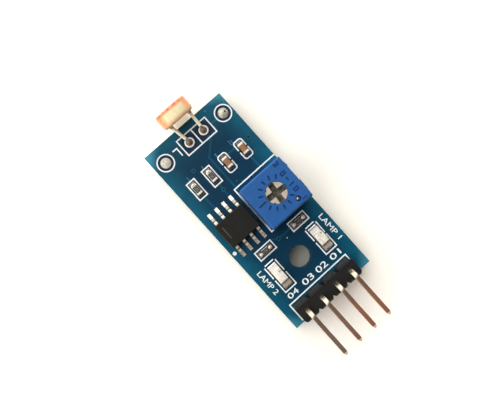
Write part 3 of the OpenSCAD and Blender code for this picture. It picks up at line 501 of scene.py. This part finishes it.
def make_pad_shade():
    """Painted shade, which darkens the leads and their joints to brown round the middle of each pad."""
    group, given, wanted = make_group(
        "pad_shade", {"Colour": "Color", "Shade Colour": "Color", "Reach": "Float"}, {"Colour": "Color"})
    flat = vector_node(group, "MULTIPLY", place_in_mm(group), (1, 1, 0))
    near = [vector_node(group, "DISTANCE", flat, board_place(*pad, 0)) for pad in CELL_PADS]
    share = math_node(group, "DIVIDE", math_node(group, "MINIMUM", *near), given["Reach"])
    dark_share = smooth_step(group, share, 1.0, 0.75)
    hue = mix_colours(group, dark_share, given["Colour"], given["Shade Colour"])
    group.links.new(hue, wanted["Colour"])
    return group


def make_pad_shaded(name, colour, patch, reach, metallic=0.0, **grain_values):
    """A finish that the painted shade browns, out to its reach."""
    material, tree, shader = start_finish(name, metallic)
    hue = add_node(tree, "ShaderNodeGroup",
                   {"Colour": colour, "Shade Colour": rgb(100, 82, 62), "Reach": reach},
                   node_tree=pad_shade).outputs[0]
    place_grain(tree, shader, hue, patch, patch_share=0.4, **grain_values)
    return material


pad_shade = make_pad_shade()
lead_wire = make_pad_shaded("lead_wire", rgb(255, 248, 218), rgb(246, 232, 196), reach=0.66,
                         patch_size=0.7, roughness=0.35, grain_size=0.2, bump=0.006)
joint_solder = make_pad_shaded("joint_solder", rgb(252, 247, 236), rgb(196, 180, 156), reach=0.6,
                            patch_size=0.2, roughness=0.3, grain_size=0.15, bump=0.012, metallic=0.5)
dress(lead_wire, "photocell_lead_a", "photocell_lead_b")

# Where the lacquer changes colour, to each side of the disc's middle and along its axis to the front
# and the back, where its tan is painted shade, and how much it covers at the face and behind it
LACQUER_SIDES, LACQUER_FRONT, LACQUER_BACK_SHADE = (1.1, 2.1), (0.42, 0.86), (-0.2, -1.0)
LACQUER_FACE, FACE_COVER, ADDED_COVER = (1.09, 1.0), 0.3, 0.66
# How strongly the lacquer glows, as painted light
LACQUER_GLOW = 0.17


def make_lacquer():
    """Clear warm lacquer: deep orange over the film's edge, cream over the ceramic, tan at the back as
    painted shade, and a faint glow of painted light.
    """
    material, tree, shader = start_finish("cell_lacquer", coat=0.25)
    away = vector_node(tree, "SUBTRACT", place_in_mm(tree), CELL_MIDDLE)
    depth = vector_node(tree, "DOT_PRODUCT", away, CELL_AXIS)
    side = math_node(tree, "ABSOLUTE", split(tree, away)[1])
    flank = smooth_step(tree, side, *LACQUER_SIDES)
    body = mix_colours(tree, flank, rgb(255, 249, 206), rgb(255, 148, 80))
    front = mix_colours(tree, smooth_step(tree, depth, *LACQUER_FRONT), body, rgb(252, 84, 30))
    hue = mix_colours(tree, smooth_step(tree, depth, *LACQUER_BACK_SHADE), front, rgb(222, 168, 122))
    glow = place_grain(tree, shader, hue, rgb(255, 206, 130), patch_size=0.4, patch_share=0.45,
                       roughness=0.2, spread=0.1, grain_size=0.5, bump=0.006)
    tree.links.new(glow, shader.inputs["Emission Color"])
    shader.inputs["Emission Strength"].default_value = LACQUER_GLOW
    behind = smooth_step(tree, depth, *LACQUER_FACE)
    cover = add_node(tree, "ShaderNodeMath", {0: behind, 1: ADDED_COVER, 2: FACE_COVER},
                     operation="MULTIPLY_ADD").outputs[0]
    tree.links.new(cover, shader.inputs["Alpha"])
    return material


cell_lacquer = make_lacquer()
bm = bmesh.new()
bmesh.ops.create_circle(bm, cap_ends=True, radius=CELL_WIDTH / 2, segments=128)
for side in (-1, 1):
    bmesh.ops.bisect_plane(bm, geom=bm.verts[:] + bm.edges[:] + bm.faces[:], clear_outer=True,
                           plane_co=(side * CELL_HEIGHT / 2, 0, 0), plane_no=(side, 0, 0))
walls = bmesh.ops.extrude_face_region(bm, geom=bm.faces[:])
bmesh.ops.translate(bm, vec=(0, 0, CELL_DEPTH),
                    verts=[v for v in walls["geom"] if isinstance(v, bmesh.types.BMVert)])
bmesh.ops.translate(bm, vec=(0, 0, -CELL_DEPTH / 2), verts=bm.verts)
bmesh.ops.recalc_face_normals(bm, faces=bm.faces)
rims = [e for e in bm.edges if abs(e.verts[0].co.z - e.verts[1].co.z) < CELL_DEPTH / 2]
bmesh.ops.bevel(bm, geom=rims, offset=LACQUER_EDGE, segments=6, profile=0.5, affect="EDGES", material=-1)
bmesh.ops.transform(bm, matrix=CELL_FRAME, verts=bm.verts)
lacquer = add_piece(bm, "photocell_lacquer", cell_lacquer, smooth=35)
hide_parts("photocell_coating")

# Lacquer drawn up on the two leads, and the joints that hold them: a flat ring with a hollow rise. The
# joint's profile is radius and height, from the board's underside and then from its top.
SEAL_LENGTH, SEAL_RADIUS, SEAL_TIP = 0.3, 0.4, 0.25
JOINT_BELOW = [(0.26, -0.5), (0.32, -0.3), (0.46, -0.14), (0.72, -0.05), (0.72, 0), (0.44, 0)]
JOINT_ABOVE = [(0.44, 0), (0.725, 0), (0.715, 0.07), (0.66, 0.13), (0.58, 0.14), (0.5, 0.11),
               (0.36, 0.14), (0.27, 0.3), (0.2, 0.5), (0, 0.58)]
JOINT = JOINT_BELOW + [(r, BOARD_TOP + z) for r, z in JOINT_ABOVE]
# Points nearer to each other than this become one
WELD = 0.0005
lacquer_seal = make_finish("lacquer_seal", rgb(248, 212, 174), rgb(216, 172, 134), patch_size=0.3,
                           roughness=0.3, grain_size=0.2, bump=0.006, coat=0.4)

bm = bmesh.new()
for pad, side in zip(CELL_PADS, (1, -1)):
    root = CELL_MIDDLE + Vector((0, side * CELL_PITCH / 2, 0))
    way = board_place(*pad, root.z) - root
    way.z = -way.length * math.tan(math.radians(CELL_TILT))
    way.normalize()
    start = root + way * (CELL_DEPTH / 2 / abs(way.dot(CELL_AXIS)))
    turn = way.to_track_quat("Z", "Y").to_matrix().to_4x4()
    add_cone(bm, start, SEAL_RADIUS, SEAL_TIP, 2 * SEAL_LENGTH, segments=32, turn=turn)
add_piece(bm, "photocell_lead_seals", lacquer_seal, smooth=35)


def spin_profile(bm, profile, at, steps=48):
    """Turns a profile of radius and height once round an upright axis."""
    ring = [bm.verts.new(at + Vector((r, 0, z))) for r, z in profile]
    chain = [bm.edges.new(pair) for pair in zip(ring, ring[1:])]
    bmesh.ops.spin(bm, geom=ring + chain, cent=at, axis=(0, 0, 1), angle=math.tau, steps=steps,
                   use_merge=True)


bm = bmesh.new()
for pad in CELL_PADS:
    spin_profile(bm, JOINT, board_place(*pad, 0))
bmesh.ops.remove_doubles(bm, verts=bm.verts, dist=WELD)
bmesh.ops.recalc_face_normals(bm, faces=bm.faces)
joints = add_piece(bm, "photocell_joints", joint_solder, smooth=50)
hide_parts("photocell_solder")


# Trimmer: a blue moulded housing with a scale round a beige rotor, a bright stud in its roof, and
# under it a spring wiper on a cermet track. Resin closes it from below round the three pins.
ROOF_TOP = TRIMMER_HIGH.z
# Level faces more than this below the roof are the floors of its engraved marks, darker there as painted
# shade
ROOF_DROP = 0.05


def make_sunk():
    """Another colour on the level faces below a height, such as the floor of an engraved mark."""
    group, given, wanted = make_group(
        "sunk", {"Colour": "Color", "Sunk Colour": "Color", "Level": "Float"}, {"Colour": "Color"})
    height = split(group, place_in_mm(group))[2]
    facing = add_node(group, "ShaderNodeNewGeometry").outputs["Normal"]
    level = smooth_step(group, split(group, facing)[2], 0.8, 0.95)
    below = smooth_step(group, math_node(group, "SUBTRACT", given["Level"], height), 0.0, 0.03)
    share = math_node(group, "MULTIPLY", below, level)
    group.links.new(mix_colours(group, share, given["Colour"], given["Sunk Colour"]), wanted["Colour"])
    return group


sunk = make_sunk()


def make_engraved(name, colour, patch, sunk_colour, level, specular, **grain_values):
    """A moulded finish, with another colour in the marks that are sunk below a level."""
    material, tree, shader = start_finish(name, specular=specular)
    hue = add_node(tree, "ShaderNodeGroup",
                   {"Colour": colour, "Sunk Colour": sunk_colour, "Level": level},
                   node_tree=sunk).outputs[0]
    place_grain(tree, shader, hue, patch, patch_share=0.3, spread=0.16, **grain_values)
    return material


# Blue plastic, its engraved marks darker as painted shade
trimmer_plastic = make_engraved("trimmer_plastic", rgb(36, 92, 155), rgb(30, 82, 144), rgb(24, 66, 128),
                                level=ROOF_TOP - ROOF_DROP, patch_size=1.2, roughness=0.45,
                                grain_size=0.09, bump=0.004, specular=0.25)
ROTOR_MIDDLE = sum(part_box("trimmer_rotor"), Vector()) / 2 / MM
ROTOR_TURN = -4.7
# Half the width of the painted shade along the slot's arms, and the blur of its edge
SLOT_HALF, SLOT_BLUR = 0.4, 0.02


def make_rotor():
    """Beige plastic, with painted shade in the arms of its cross slot and out over the rim."""
    material, tree, shader = start_finish("rotor_plastic", specular=0.2)
    turned = add_node(tree, "ShaderNodeVectorRotate",
                      {"Vector": place_in_mm(tree), "Center": ROTOR_MIDDLE,
                       "Angle": math.radians(-ROTOR_TURN)}, rotation_type="Z_AXIS").outputs[0]
    sides = split(tree, vector_node(tree, "SUBTRACT", turned, ROTOR_MIDDLE))
    arm = math_node(tree, "MINIMUM", *[math_node(tree, "ABSOLUTE", sides[i]) for i in (0, 1)])
    share = smooth_step(tree, arm, SLOT_HALF + SLOT_BLUR, SLOT_HALF - SLOT_BLUR)
    hue = mix_colours(tree, share, rgb(192, 184, 168), rgb(76, 71, 62))
    place_grain(tree, shader, hue, rgb(158, 148, 128), patch_size=0.45, patch_share=0.3, roughness=0.55,
                spread=0.16, grain_size=0.1, bump=0.008)
    return material


rotor_plastic = make_rotor()
seal_rubber = make_finish("seal_rubber", rgb(28, 28, 28), rgb(44, 42, 40), patch_size=0.4,
                          roughness=0.7, grain_size=0.08, bump=0.008)
spring_brass = make_finish("spring_brass", rgb(214, 176, 104), rgb(170, 130, 70), patch_size=0.5,
                           roughness=0.3, grain_size=0.1, bump=0.006, metallic=1.0)
element_ceramic = make_finish("element_ceramic", rgb(236, 232, 222), rgb(220, 212, 196), patch_size=0.8,
                              roughness=0.6, grain_size=0.07, bump=0.006)
cermet = make_finish("cermet", rgb(44, 38, 36), rgb(66, 58, 52), patch_size=0.3, roughness=0.45,
                     grain_size=0.06, bump=0.006)
potting_resin = make_finish("potting_resin", rgb(38, 62, 92), rgb(28, 46, 70), patch_size=1.2,
                            roughness=0.25, grain_size=0.3, bump=0.01)
marker_steel = make_finish("marker_steel", rgb(224, 218, 206), rgb(168, 158, 142), patch_size=0.2,
                           roughness=0.22, grain_size=0.1, bump=0.006, metallic=1.0)
dress(trimmer_plastic, "trimmer_housing")
dress(rotor_plastic, "trimmer_rotor")
dress(seal_rubber, "trimmer_seal_ring")
dress(spring_brass, "trimmer_wiper")
dress(element_ceramic, "trimmer_element")
dress(cermet, "trimmer_track")
dress(potting_resin, "trimmer_potting")
dress(marker_steel, "trimmer_marker")
tinned_wire = make_finish("tinned_wire", rgb(240, 230, 208), rgb(206, 190, 160), patch_size=0.7,
                          roughness=0.38, grain_size=0.2, bump=0.01, metallic=0.45)
dress(tinned_wire, "trimmer_pin_1", "trimmer_pin_2", "trimmer_pin_3")
solder = make_finish("solder", rgb(244, 238, 224), rgb(206, 194, 172), patch_size=0.4, patch_share=0.5,
                     roughness=0.28, grain_size=0.2, bump=0.012, metallic=0.6)
dress(solder, "trimmer_solder")


# Comparator: a small chip in black epoxy, moulded round eight tinned leads that are bent down to
# their pads and reflowed there. A shallow groove in its top marks the end of the first pin.
CHIP_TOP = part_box("comparator_body")[1].z / MM
CHIP_DROP = 0.01
chip_epoxy = make_engraved("chip_epoxy", rgb(36, 35, 30), rgb(28, 27, 24), rgb(88, 82, 62),
                           level=CHIP_TOP - CHIP_DROP, patch_size=0.8, roughness=0.6, grain_size=0.05,
                           bump=0.008, specular=0.12)
CHIP_MIDDLE = sum(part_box("comparator_body"), Vector()).x / 2 / MM
# Dark bands of painted shade across the leads: how far out from the chip's middle they lie, and their
# half widths
LEAD_SHADE_BANDS = [(2.47, 0.11), (2.98, 0.06)]


def make_lead():
    """Tinned lead frame, with painted shade where it drops steeply to its foot and at the end of the
    foot.
    """
    material, tree, shader = start_finish("tinned_lead", metallic=0.6)
    along = split(tree, place_in_mm(tree))[0]
    out = math_node(tree, "ABSOLUTE", math_node(tree, "SUBTRACT", along, CHIP_MIDDLE))
    hue = rgb(242, 236, 218)
    for middle, half in LEAD_SHADE_BANDS:
        away = math_node(tree, "ABSOLUTE", math_node(tree, "SUBTRACT", out, middle))
        hue = mix_colours(tree, smooth_step(tree, away, half, 0.4 * half), hue, rgb(84, 72, 56))
    place_grain(tree, shader, hue, rgb(204, 190, 164), patch_size=0.35, patch_share=0.35, roughness=0.3,
                grain_size=0.16, bump=0.006)
    return material


tinned_lead = make_lead()
dress(chip_epoxy, "comparator_body")
dress(tinned_lead, "comparator_leads")
dress(solder, "comparator_solder")


# Chip capacitors and resistors: ceramic blocks in tinned end caps, the resistors with a black glaze,
# reflowed onto their pads.
capacitor_ceramic = make_finish("capacitor_ceramic", rgb(160, 109, 62), rgb(134, 86, 48),
                                patch_size=0.4, roughness=0.5, grain_size=0.06, bump=0.008)
resistor_ceramic = make_finish("resistor_ceramic", rgb(228, 224, 212), rgb(206, 200, 186),
                               patch_size=0.4, roughness=0.6, grain_size=0.06, bump=0.006)
resistor_glaze = make_finish("resistor_glaze", rgb(18, 18, 18), rgb(30, 30, 30), patch_size=0.3,
                             roughness=0.45, grain_size=0.06, bump=0.004)
resistor_ink = make_finish("resistor_ink", rgb(150, 150, 142), rgb(118, 118, 112), patch_size=0.1,
                           roughness=0.6, grain_size=0.05, bump=0.002)
end_cap = make_finish("end_cap", rgb(250, 243, 226), rgb(214, 202, 178), patch_size=0.25,
                      roughness=0.36, grain_size=0.1, bump=0.008, metallic=0.3)
CAPACITORS = ["capacitor_1", "capacitor_2"]
RESISTORS = ["resistor_1", "resistor_2", "resistor_3", "resistor_4"]
dress(capacitor_ceramic, *[n + "_body" for n in CAPACITORS])
dress(resistor_ceramic, *[n + "_body" for n in RESISTORS])
dress(resistor_glaze, *[n + "_coat" for n in RESISTORS])
# The end caps of the two resistors beside the trimmer, darker as painted shade
shaded_end_cap = make_finish("shaded_end_cap", rgb(66, 62, 58), rgb(46, 44, 42), patch_size=0.25, roughness=0.45,
                       grain_size=0.1, bump=0.008, metallic=0.5)
dress(end_cap, *[n + "_caps" for n in CAPACITORS + RESISTORS[:2]])
dress(shaded_end_cap, *[n + "_caps" for n in RESISTORS[2:]])

# Beads of solder that have climbed on the end caps: place from the board's middle and half sizes in
# plan, half their height, and how far their middles lie below the caps' tops
BEADS = [((-8.36, -1.58), (0.24, 0.33)), ((-8.36, -4.3), (0.2, 0.33)),
         ((4.8, 3.9), (0.27, 0.3)), ((4.8, 2.34), (0.25, 0.27)),
         ((4.8, -2.12), (0.27, 0.3)), ((4.8, -3.68), (0.25, 0.27))]
BEAD_HALF, BEAD_SINK = 0.16, 0.06
bead_solder = make_finish("bead_solder", rgb(252, 240, 224), rgb(196, 158, 136), patch_size=0.2,
                          patch_share=0.5, roughness=0.34, grain_size=0.12, bump=0.01, metallic=0.3)
RESISTOR_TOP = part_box("resistor_1_caps")[1].z / MM
bm = bmesh.new()
for middle, half in BEADS:
    shape = Matrix.Diagonal((*half, BEAD_HALF, 1))
    place = Matrix.Translation(board_place(*middle, RESISTOR_TOP - BEAD_SINK))
    bmesh.ops.create_uvsphere(bm, u_segments=24, v_segments=12, radius=1, matrix=place @ shape)
add_piece(bm, "solder_beads", bead_solder, smooth=60)

# Plain value figures on the glaze, along each resistor, half sunk in it
FIGURE_WIDTH, FIGURE_HEIGHT, FIGURE_DEPTH = 0.66, 0.4, 0.012
for name, turn in zip(RESISTORS, (0, 0, 90, 90)):
    low, high = [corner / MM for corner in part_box(name + "_coat")]
    middle = Vector(((low.x + high.x) / 2, (low.y + high.y) / 2, high.z - FIGURE_DEPTH / 2))
    mesh = fit_words(flat_words("100"), middle, FIGURE_WIDTH, FIGURE_HEIGHT, turn, FIGURE_DEPTH)
    add_mesh(mesh, name + "_figures", resistor_ink)


# Indicator lamps: a small base with two tinned clip terminals, a die, and a milky clear lens that is
# moulded over it. Reflowed solder holds the terminals to their pads.
LAMPS = ["power_lamp", "output_lamp"]
lamp_base = make_finish("lamp_base", rgb(232, 224, 200), rgb(206, 192, 158), patch_size=0.4,
                        roughness=0.5, grain_size=0.07, bump=0.006)
lamp_die = make_finish("lamp_die", rgb(96, 160, 122), rgb(58, 116, 86), patch_size=0.1, roughness=0.3,
                       grain_size=0.05, bump=0.004)

# Along the board: where painted shade dulls the terminals, and the two ends of the gilt on them
TERMINAL_SHADE_FADE, GILT_START, GILT_END = (-0.3, 0.3), (0.3, 0.6), (1.2, 1.02)


def make_terminal():
    """Tinned clips: bright at the photocell's side, dulled by painted shade at the header's, and gilt
    there by the lens.
    """
    material, tree, shader = start_finish("lamp_terminal", metallic=0.15)
    along = split(tree, place_in_mm(tree))[0]
    tin = mix_colours(tree, smooth_step(tree, along, *TERMINAL_SHADE_FADE), rgb(255, 253, 248), rgb(182, 170, 160))
    gilt = math_node(tree, "MULTIPLY", smooth_step(tree, along, *GILT_START),
                     smooth_step(tree, along, *GILT_END))
    hue = mix_colours(tree, gilt, tin, rgb(140, 104, 72))
    place_grain(tree, shader, hue, rgb(196, 182, 160), patch_size=0.35, patch_share=0.3, roughness=0.34,
                grain_size=0.1, bump=0.008)
    return material


def make_lens():
    """Milky resin, clearer in clouds."""
    material, tree, shader = start_finish("lamp_lens", coat=0.5)
    place_grain(tree, shader, rgb(255, 252, 240), rgb(222, 204, 168), patch_size=0.4, patch_share=0.55,
                roughness=0.18, spread=0.1, grain_size=0.4, bump=0.006)
    cloud = add_node(tree, "ShaderNodeTexNoise", {"Vector": place_in_mm(tree), "Scale": 1.6}).outputs[0]
    tree.links.new(smooth_step(tree, cloud, -0.4, 0.6), shader.inputs["Alpha"])
    return material


lamp_terminal = make_terminal()
lamp_lens = make_lens()
dress(lamp_base, *[n + "_base" for n in LAMPS])
dress(lamp_terminal, *[n + "_terminals" for n in LAMPS])
dress(lamp_die, *[n + "_die" for n in LAMPS])
dress(lamp_lens, *[n + "_lens" for n in LAMPS])

# A green three-sided mark on each lens shows which way the lamp lies: its place from the lens's
# middle, its radius and its thickness
LENS_MARK = Vector((-0.6, 0.3))
LENS_MARK_RADIUS, LENS_MARK_DEPTH = 0.24, 0.01
lamp_mark = make_finish("lamp_mark", rgb(120, 176, 146), rgb(158, 190, 160), patch_size=0.15,
                        roughness=0.5, grain_size=0.05, bump=0.002)
bm = bmesh.new()
for name in LAMPS:
    low, high = [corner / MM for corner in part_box(name + "_lens")]
    place = Vector(((low.x + high.x) / 2 + LENS_MARK.x, (low.y + high.y) / 2 + LENS_MARK.y, high.z))
    add_cone(bm, place, LENS_MARK_RADIUS, LENS_MARK_RADIUS, LENS_MARK_DEPTH, segments=3)
add_piece(bm, "lamp_marks", lamp_mark)

# Along the board: where the small parts' fillets, darkened as a painted reflection, give way to the
# lamps' bright ones
FILLET_FADE = (-2.8, -2.4)


def make_fillets():
    """Reflowed solder: dark and dull on the row of small parts as a painted reflection, bright round the
    lamps.
    """
    material, tree, shader = start_finish("fillet_solder", metallic=0.8)
    along = split(tree, place_in_mm(tree))[0]
    hue = mix_colours(tree, smooth_step(tree, along, *FILLET_FADE), rgb(92, 92, 90), rgb(244, 238, 226))
    place_grain(tree, shader, hue, rgb(150, 144, 132), patch_size=0.25, patch_share=0.4, roughness=0.36,
                spread=0.25, grain_size=0.12, bump=0.01)
    return material


dress(make_fillets(), "chip_solder")


# Header: a black moulded strip notched between its four square pins, which are pressed in, bent out
# over the board's end and soldered from below.
PINS = ["header_pin_%d" % i for i in (1, 2, 3, 4)]
PIN_ROOT, PIN_TIP = [corner.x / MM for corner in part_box(PINS[0])]
PIN_EDGE = 0.09
# Across the row, where the pins turn redder; along a pin from its root, where the plate wears, where
# the pale foot ends and where the shine dulls; and from its tip, where the cut metal shows
PIN_REDDER, PIN_WORN, PIN_FOOT, PIN_DULL = (-4.0, 1.5), (0.9, 4.5), (1.1, 0.8), (0.6, 5)
PIN_CUT = (-0.5, -0.3)
PIN_SHINE, SHINE_LOSS = 0.97, -0.16
header_plastic = make_finish("header_plastic", rgb(19, 19, 17), rgb(28, 28, 26), patch_size=0.9,
                             roughness=0.5, grain_size=0.07, bump=0.006, specular=0.3)


def make_pin():
    """Thinly plated brass, redder on some pins, with its bare colour at the cut tips."""
    material, tree, shader = start_finish("header_pin")
    along, across, _ = split(tree, place_in_mm(tree))
    redder = smooth_step(tree, across, *PIN_REDDER)
    brass = mix_colours(tree, redder, rgb(200, 180, 166), rgb(236, 178, 148))
    worn, foot, dull = [smooth_step(tree, along, *[PIN_ROOT + place for place in fade])
                        for fade in (PIN_WORN, PIN_FOOT, PIN_DULL)]
    tip = smooth_step(tree, along, *[PIN_TIP + place for place in PIN_CUT])
    plate = mix_colours(tree, worn, rgb(192, 180, 168), brass)
    plate = mix_colours(tree, foot, plate, rgb(196, 192, 166))
    hue = mix_colours(tree, tip, plate, rgb(238, 200, 168))
    place_grain(tree, shader, hue, rgb(206, 168, 140), patch_size=0.9, patch_share=0.35, roughness=0.24,
                spread=0.12, grain_size=0.3, bump=0.003)
    shine = math_node(tree, "ADD", math_node(tree, "MULTIPLY", dull, SHINE_LOSS), PIN_SHINE)
    tree.links.new(math_node(tree, "SUBTRACT", shine, tip, clamp=True), shader.inputs["Metallic"])
    return material


def soften(name, material, width):
    """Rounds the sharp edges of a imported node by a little, in a piece that stands in for it."""
    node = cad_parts[name]
    bm = bmesh.new()
    bm.from_mesh(node.data)
    bmesh.ops.transform(bm, matrix=Matrix.Scale(1 / MM, 4) @ node.matrix_world, verts=bm.verts)
    bmesh.ops.remove_doubles(bm, verts=bm.verts, dist=WELD)
    bmesh.ops.dissolve_limit(bm, angle_limit=math.radians(1), verts=bm.verts, edges=bm.edges)
    sharp = [e for e in bm.edges if e.is_manifold and e.calc_face_angle() > math.radians(40)]
    bmesh.ops.bevel(bm, geom=sharp, offset=width, segments=3, profile=0.5, affect="EDGES", material=-1)
    piece = add_piece(bm, name + "_soft", material, smooth=35)
    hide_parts(name)


header_pin = make_pin()
dress(header_plastic, "header_body")
for name in PINS:
    soften(name, header_pin, PIN_EDGE)
dress(solder, "header_solder")


# Floor and light: a white table that keeps the object's soft shadow, in a room with one bright side,
# towards the photocell's end, and one brown and dim side beyond the header.
FLOOR_HALF = 600
FLOOR_GAP = 0.02
FLOOR_Z = cad_box[0][2] / MM - FLOOR_GAP
BRIGHT_SIDE = Vector((-0.92, -0.39, 0))
# The table's colour for light that bounces off it, and as it is seen
TABLE_PLAIN = (0.86, 0.86, 0.85, 1)
TABLE_SEEN = (1.27, 1.23, 1.11, 1)
# Painted shade under the board's hole, which is at the module's origin, with the radii where it fades,
# and beside the photocell, with its middle, its half sizes and the shares of them where it fades
HOLE_SHADE = (0.55, 0.55, 0.47, 1)
HOLE_SHADE_FADE = (2.2, 2.8)
CELL_SHADE = (0.78, 0.69, 0.56, 1)
CELL_SHADE_MIDDLE = (-25.1, 0.4, 0)
CELL_SHADE_HALF = (1.6, 2.2)
CELL_SHADE_FADE = (1.0, 0.35)
# The room's walls on its dim and bright sides, and where one turns into the other towards the bright
# side; below a height the camera sees a white wall instead
WALL_DIM, WALL_BRIGHT, WALL_SEEN = (0.13, 0.09, 0.074, 1), (2.3, 2.32, 2.36, 1), (1, 1, 1, 1)
BRIGHT_FADE, HEIGHT_FADE = (-0.05, 0.28), (0.45, 0.3)


def seen_directly(tree):
    """One for what the camera sees, also in metal and through glass, and zero for light that bounces."""
    rays = add_node(tree, "ShaderNodeLightPath").outputs
    return math_node(tree, "MAXIMUM", rays["Is Camera Ray"],
                     math_node(tree, "MAXIMUM", rays["Is Glossy Ray"], rays["Is Transmission Ray"]))


def make_floor():
    """Matt white, with the two shades painted on."""
    material, tree, shader = start_finish("floor", specular=0.0)
    shader.inputs["Roughness"].default_value = 0.9
    place = place_in_mm(tree)
    from_cell = vector_node(tree, "SUBTRACT", place, CELL_SHADE_MIDDLE)
    reach = vector_node(tree, "MULTIPLY", from_cell, (*[1 / half for half in CELL_SHADE_HALF], 0))
    under = smooth_step(tree, vector_node(tree, "LENGTH", reach), *CELL_SHADE_FADE)
    open_floor = smooth_step(tree, vector_node(tree, "LENGTH", place), *HOLE_SHADE_FADE)
    table = mix_colours(tree, seen_directly(tree), TABLE_PLAIN, TABLE_SEEN)
    table = mix_colours(tree, under, table, CELL_SHADE)
    hue = mix_colours(tree, open_floor, HOLE_SHADE, table)
    tree.links.new(hue, shader.inputs["Base Color"])
    return material


bm = bmesh.new()
bmesh.ops.create_grid(bm, x_segments=1, y_segments=1, size=FLOOR_HALF * MM,
                      matrix=Matrix.Translation((0, 0, FLOOR_Z * MM)))
mesh = bpy.data.meshes.new("floor")
bm.to_mesh(mesh)
bm.free()
mesh.materials.append(make_floor())
floor = bpy.data.objects.new("floor", mesh)
bpy.context.scene.collection.objects.link(floor)

world = bpy.data.worlds.new("room")
bpy.context.scene.world = world
world.use_nodes = True
room = world.node_tree
way = add_node(room, "ShaderNodeTexCoord").outputs["Generated"]
towards = vector_node(room, "DOT_PRODUCT", way, BRIGHT_SIDE)
walls = mix_colours(room, smooth_step(room, towards, *BRIGHT_FADE), WALL_DIM, WALL_BRIGHT)
low_down = smooth_step(room, split(room, way)[2], *HEIGHT_FADE)
backdrop = math_node(room, "MULTIPLY", seen_directly(room), low_down)
walls = mix_colours(room, backdrop, walls, WALL_SEEN)
room.links.new(walls, room.nodes["Background"].inputs["Color"])
bpy.context.scene.view_settings.view_transform = "Standard"
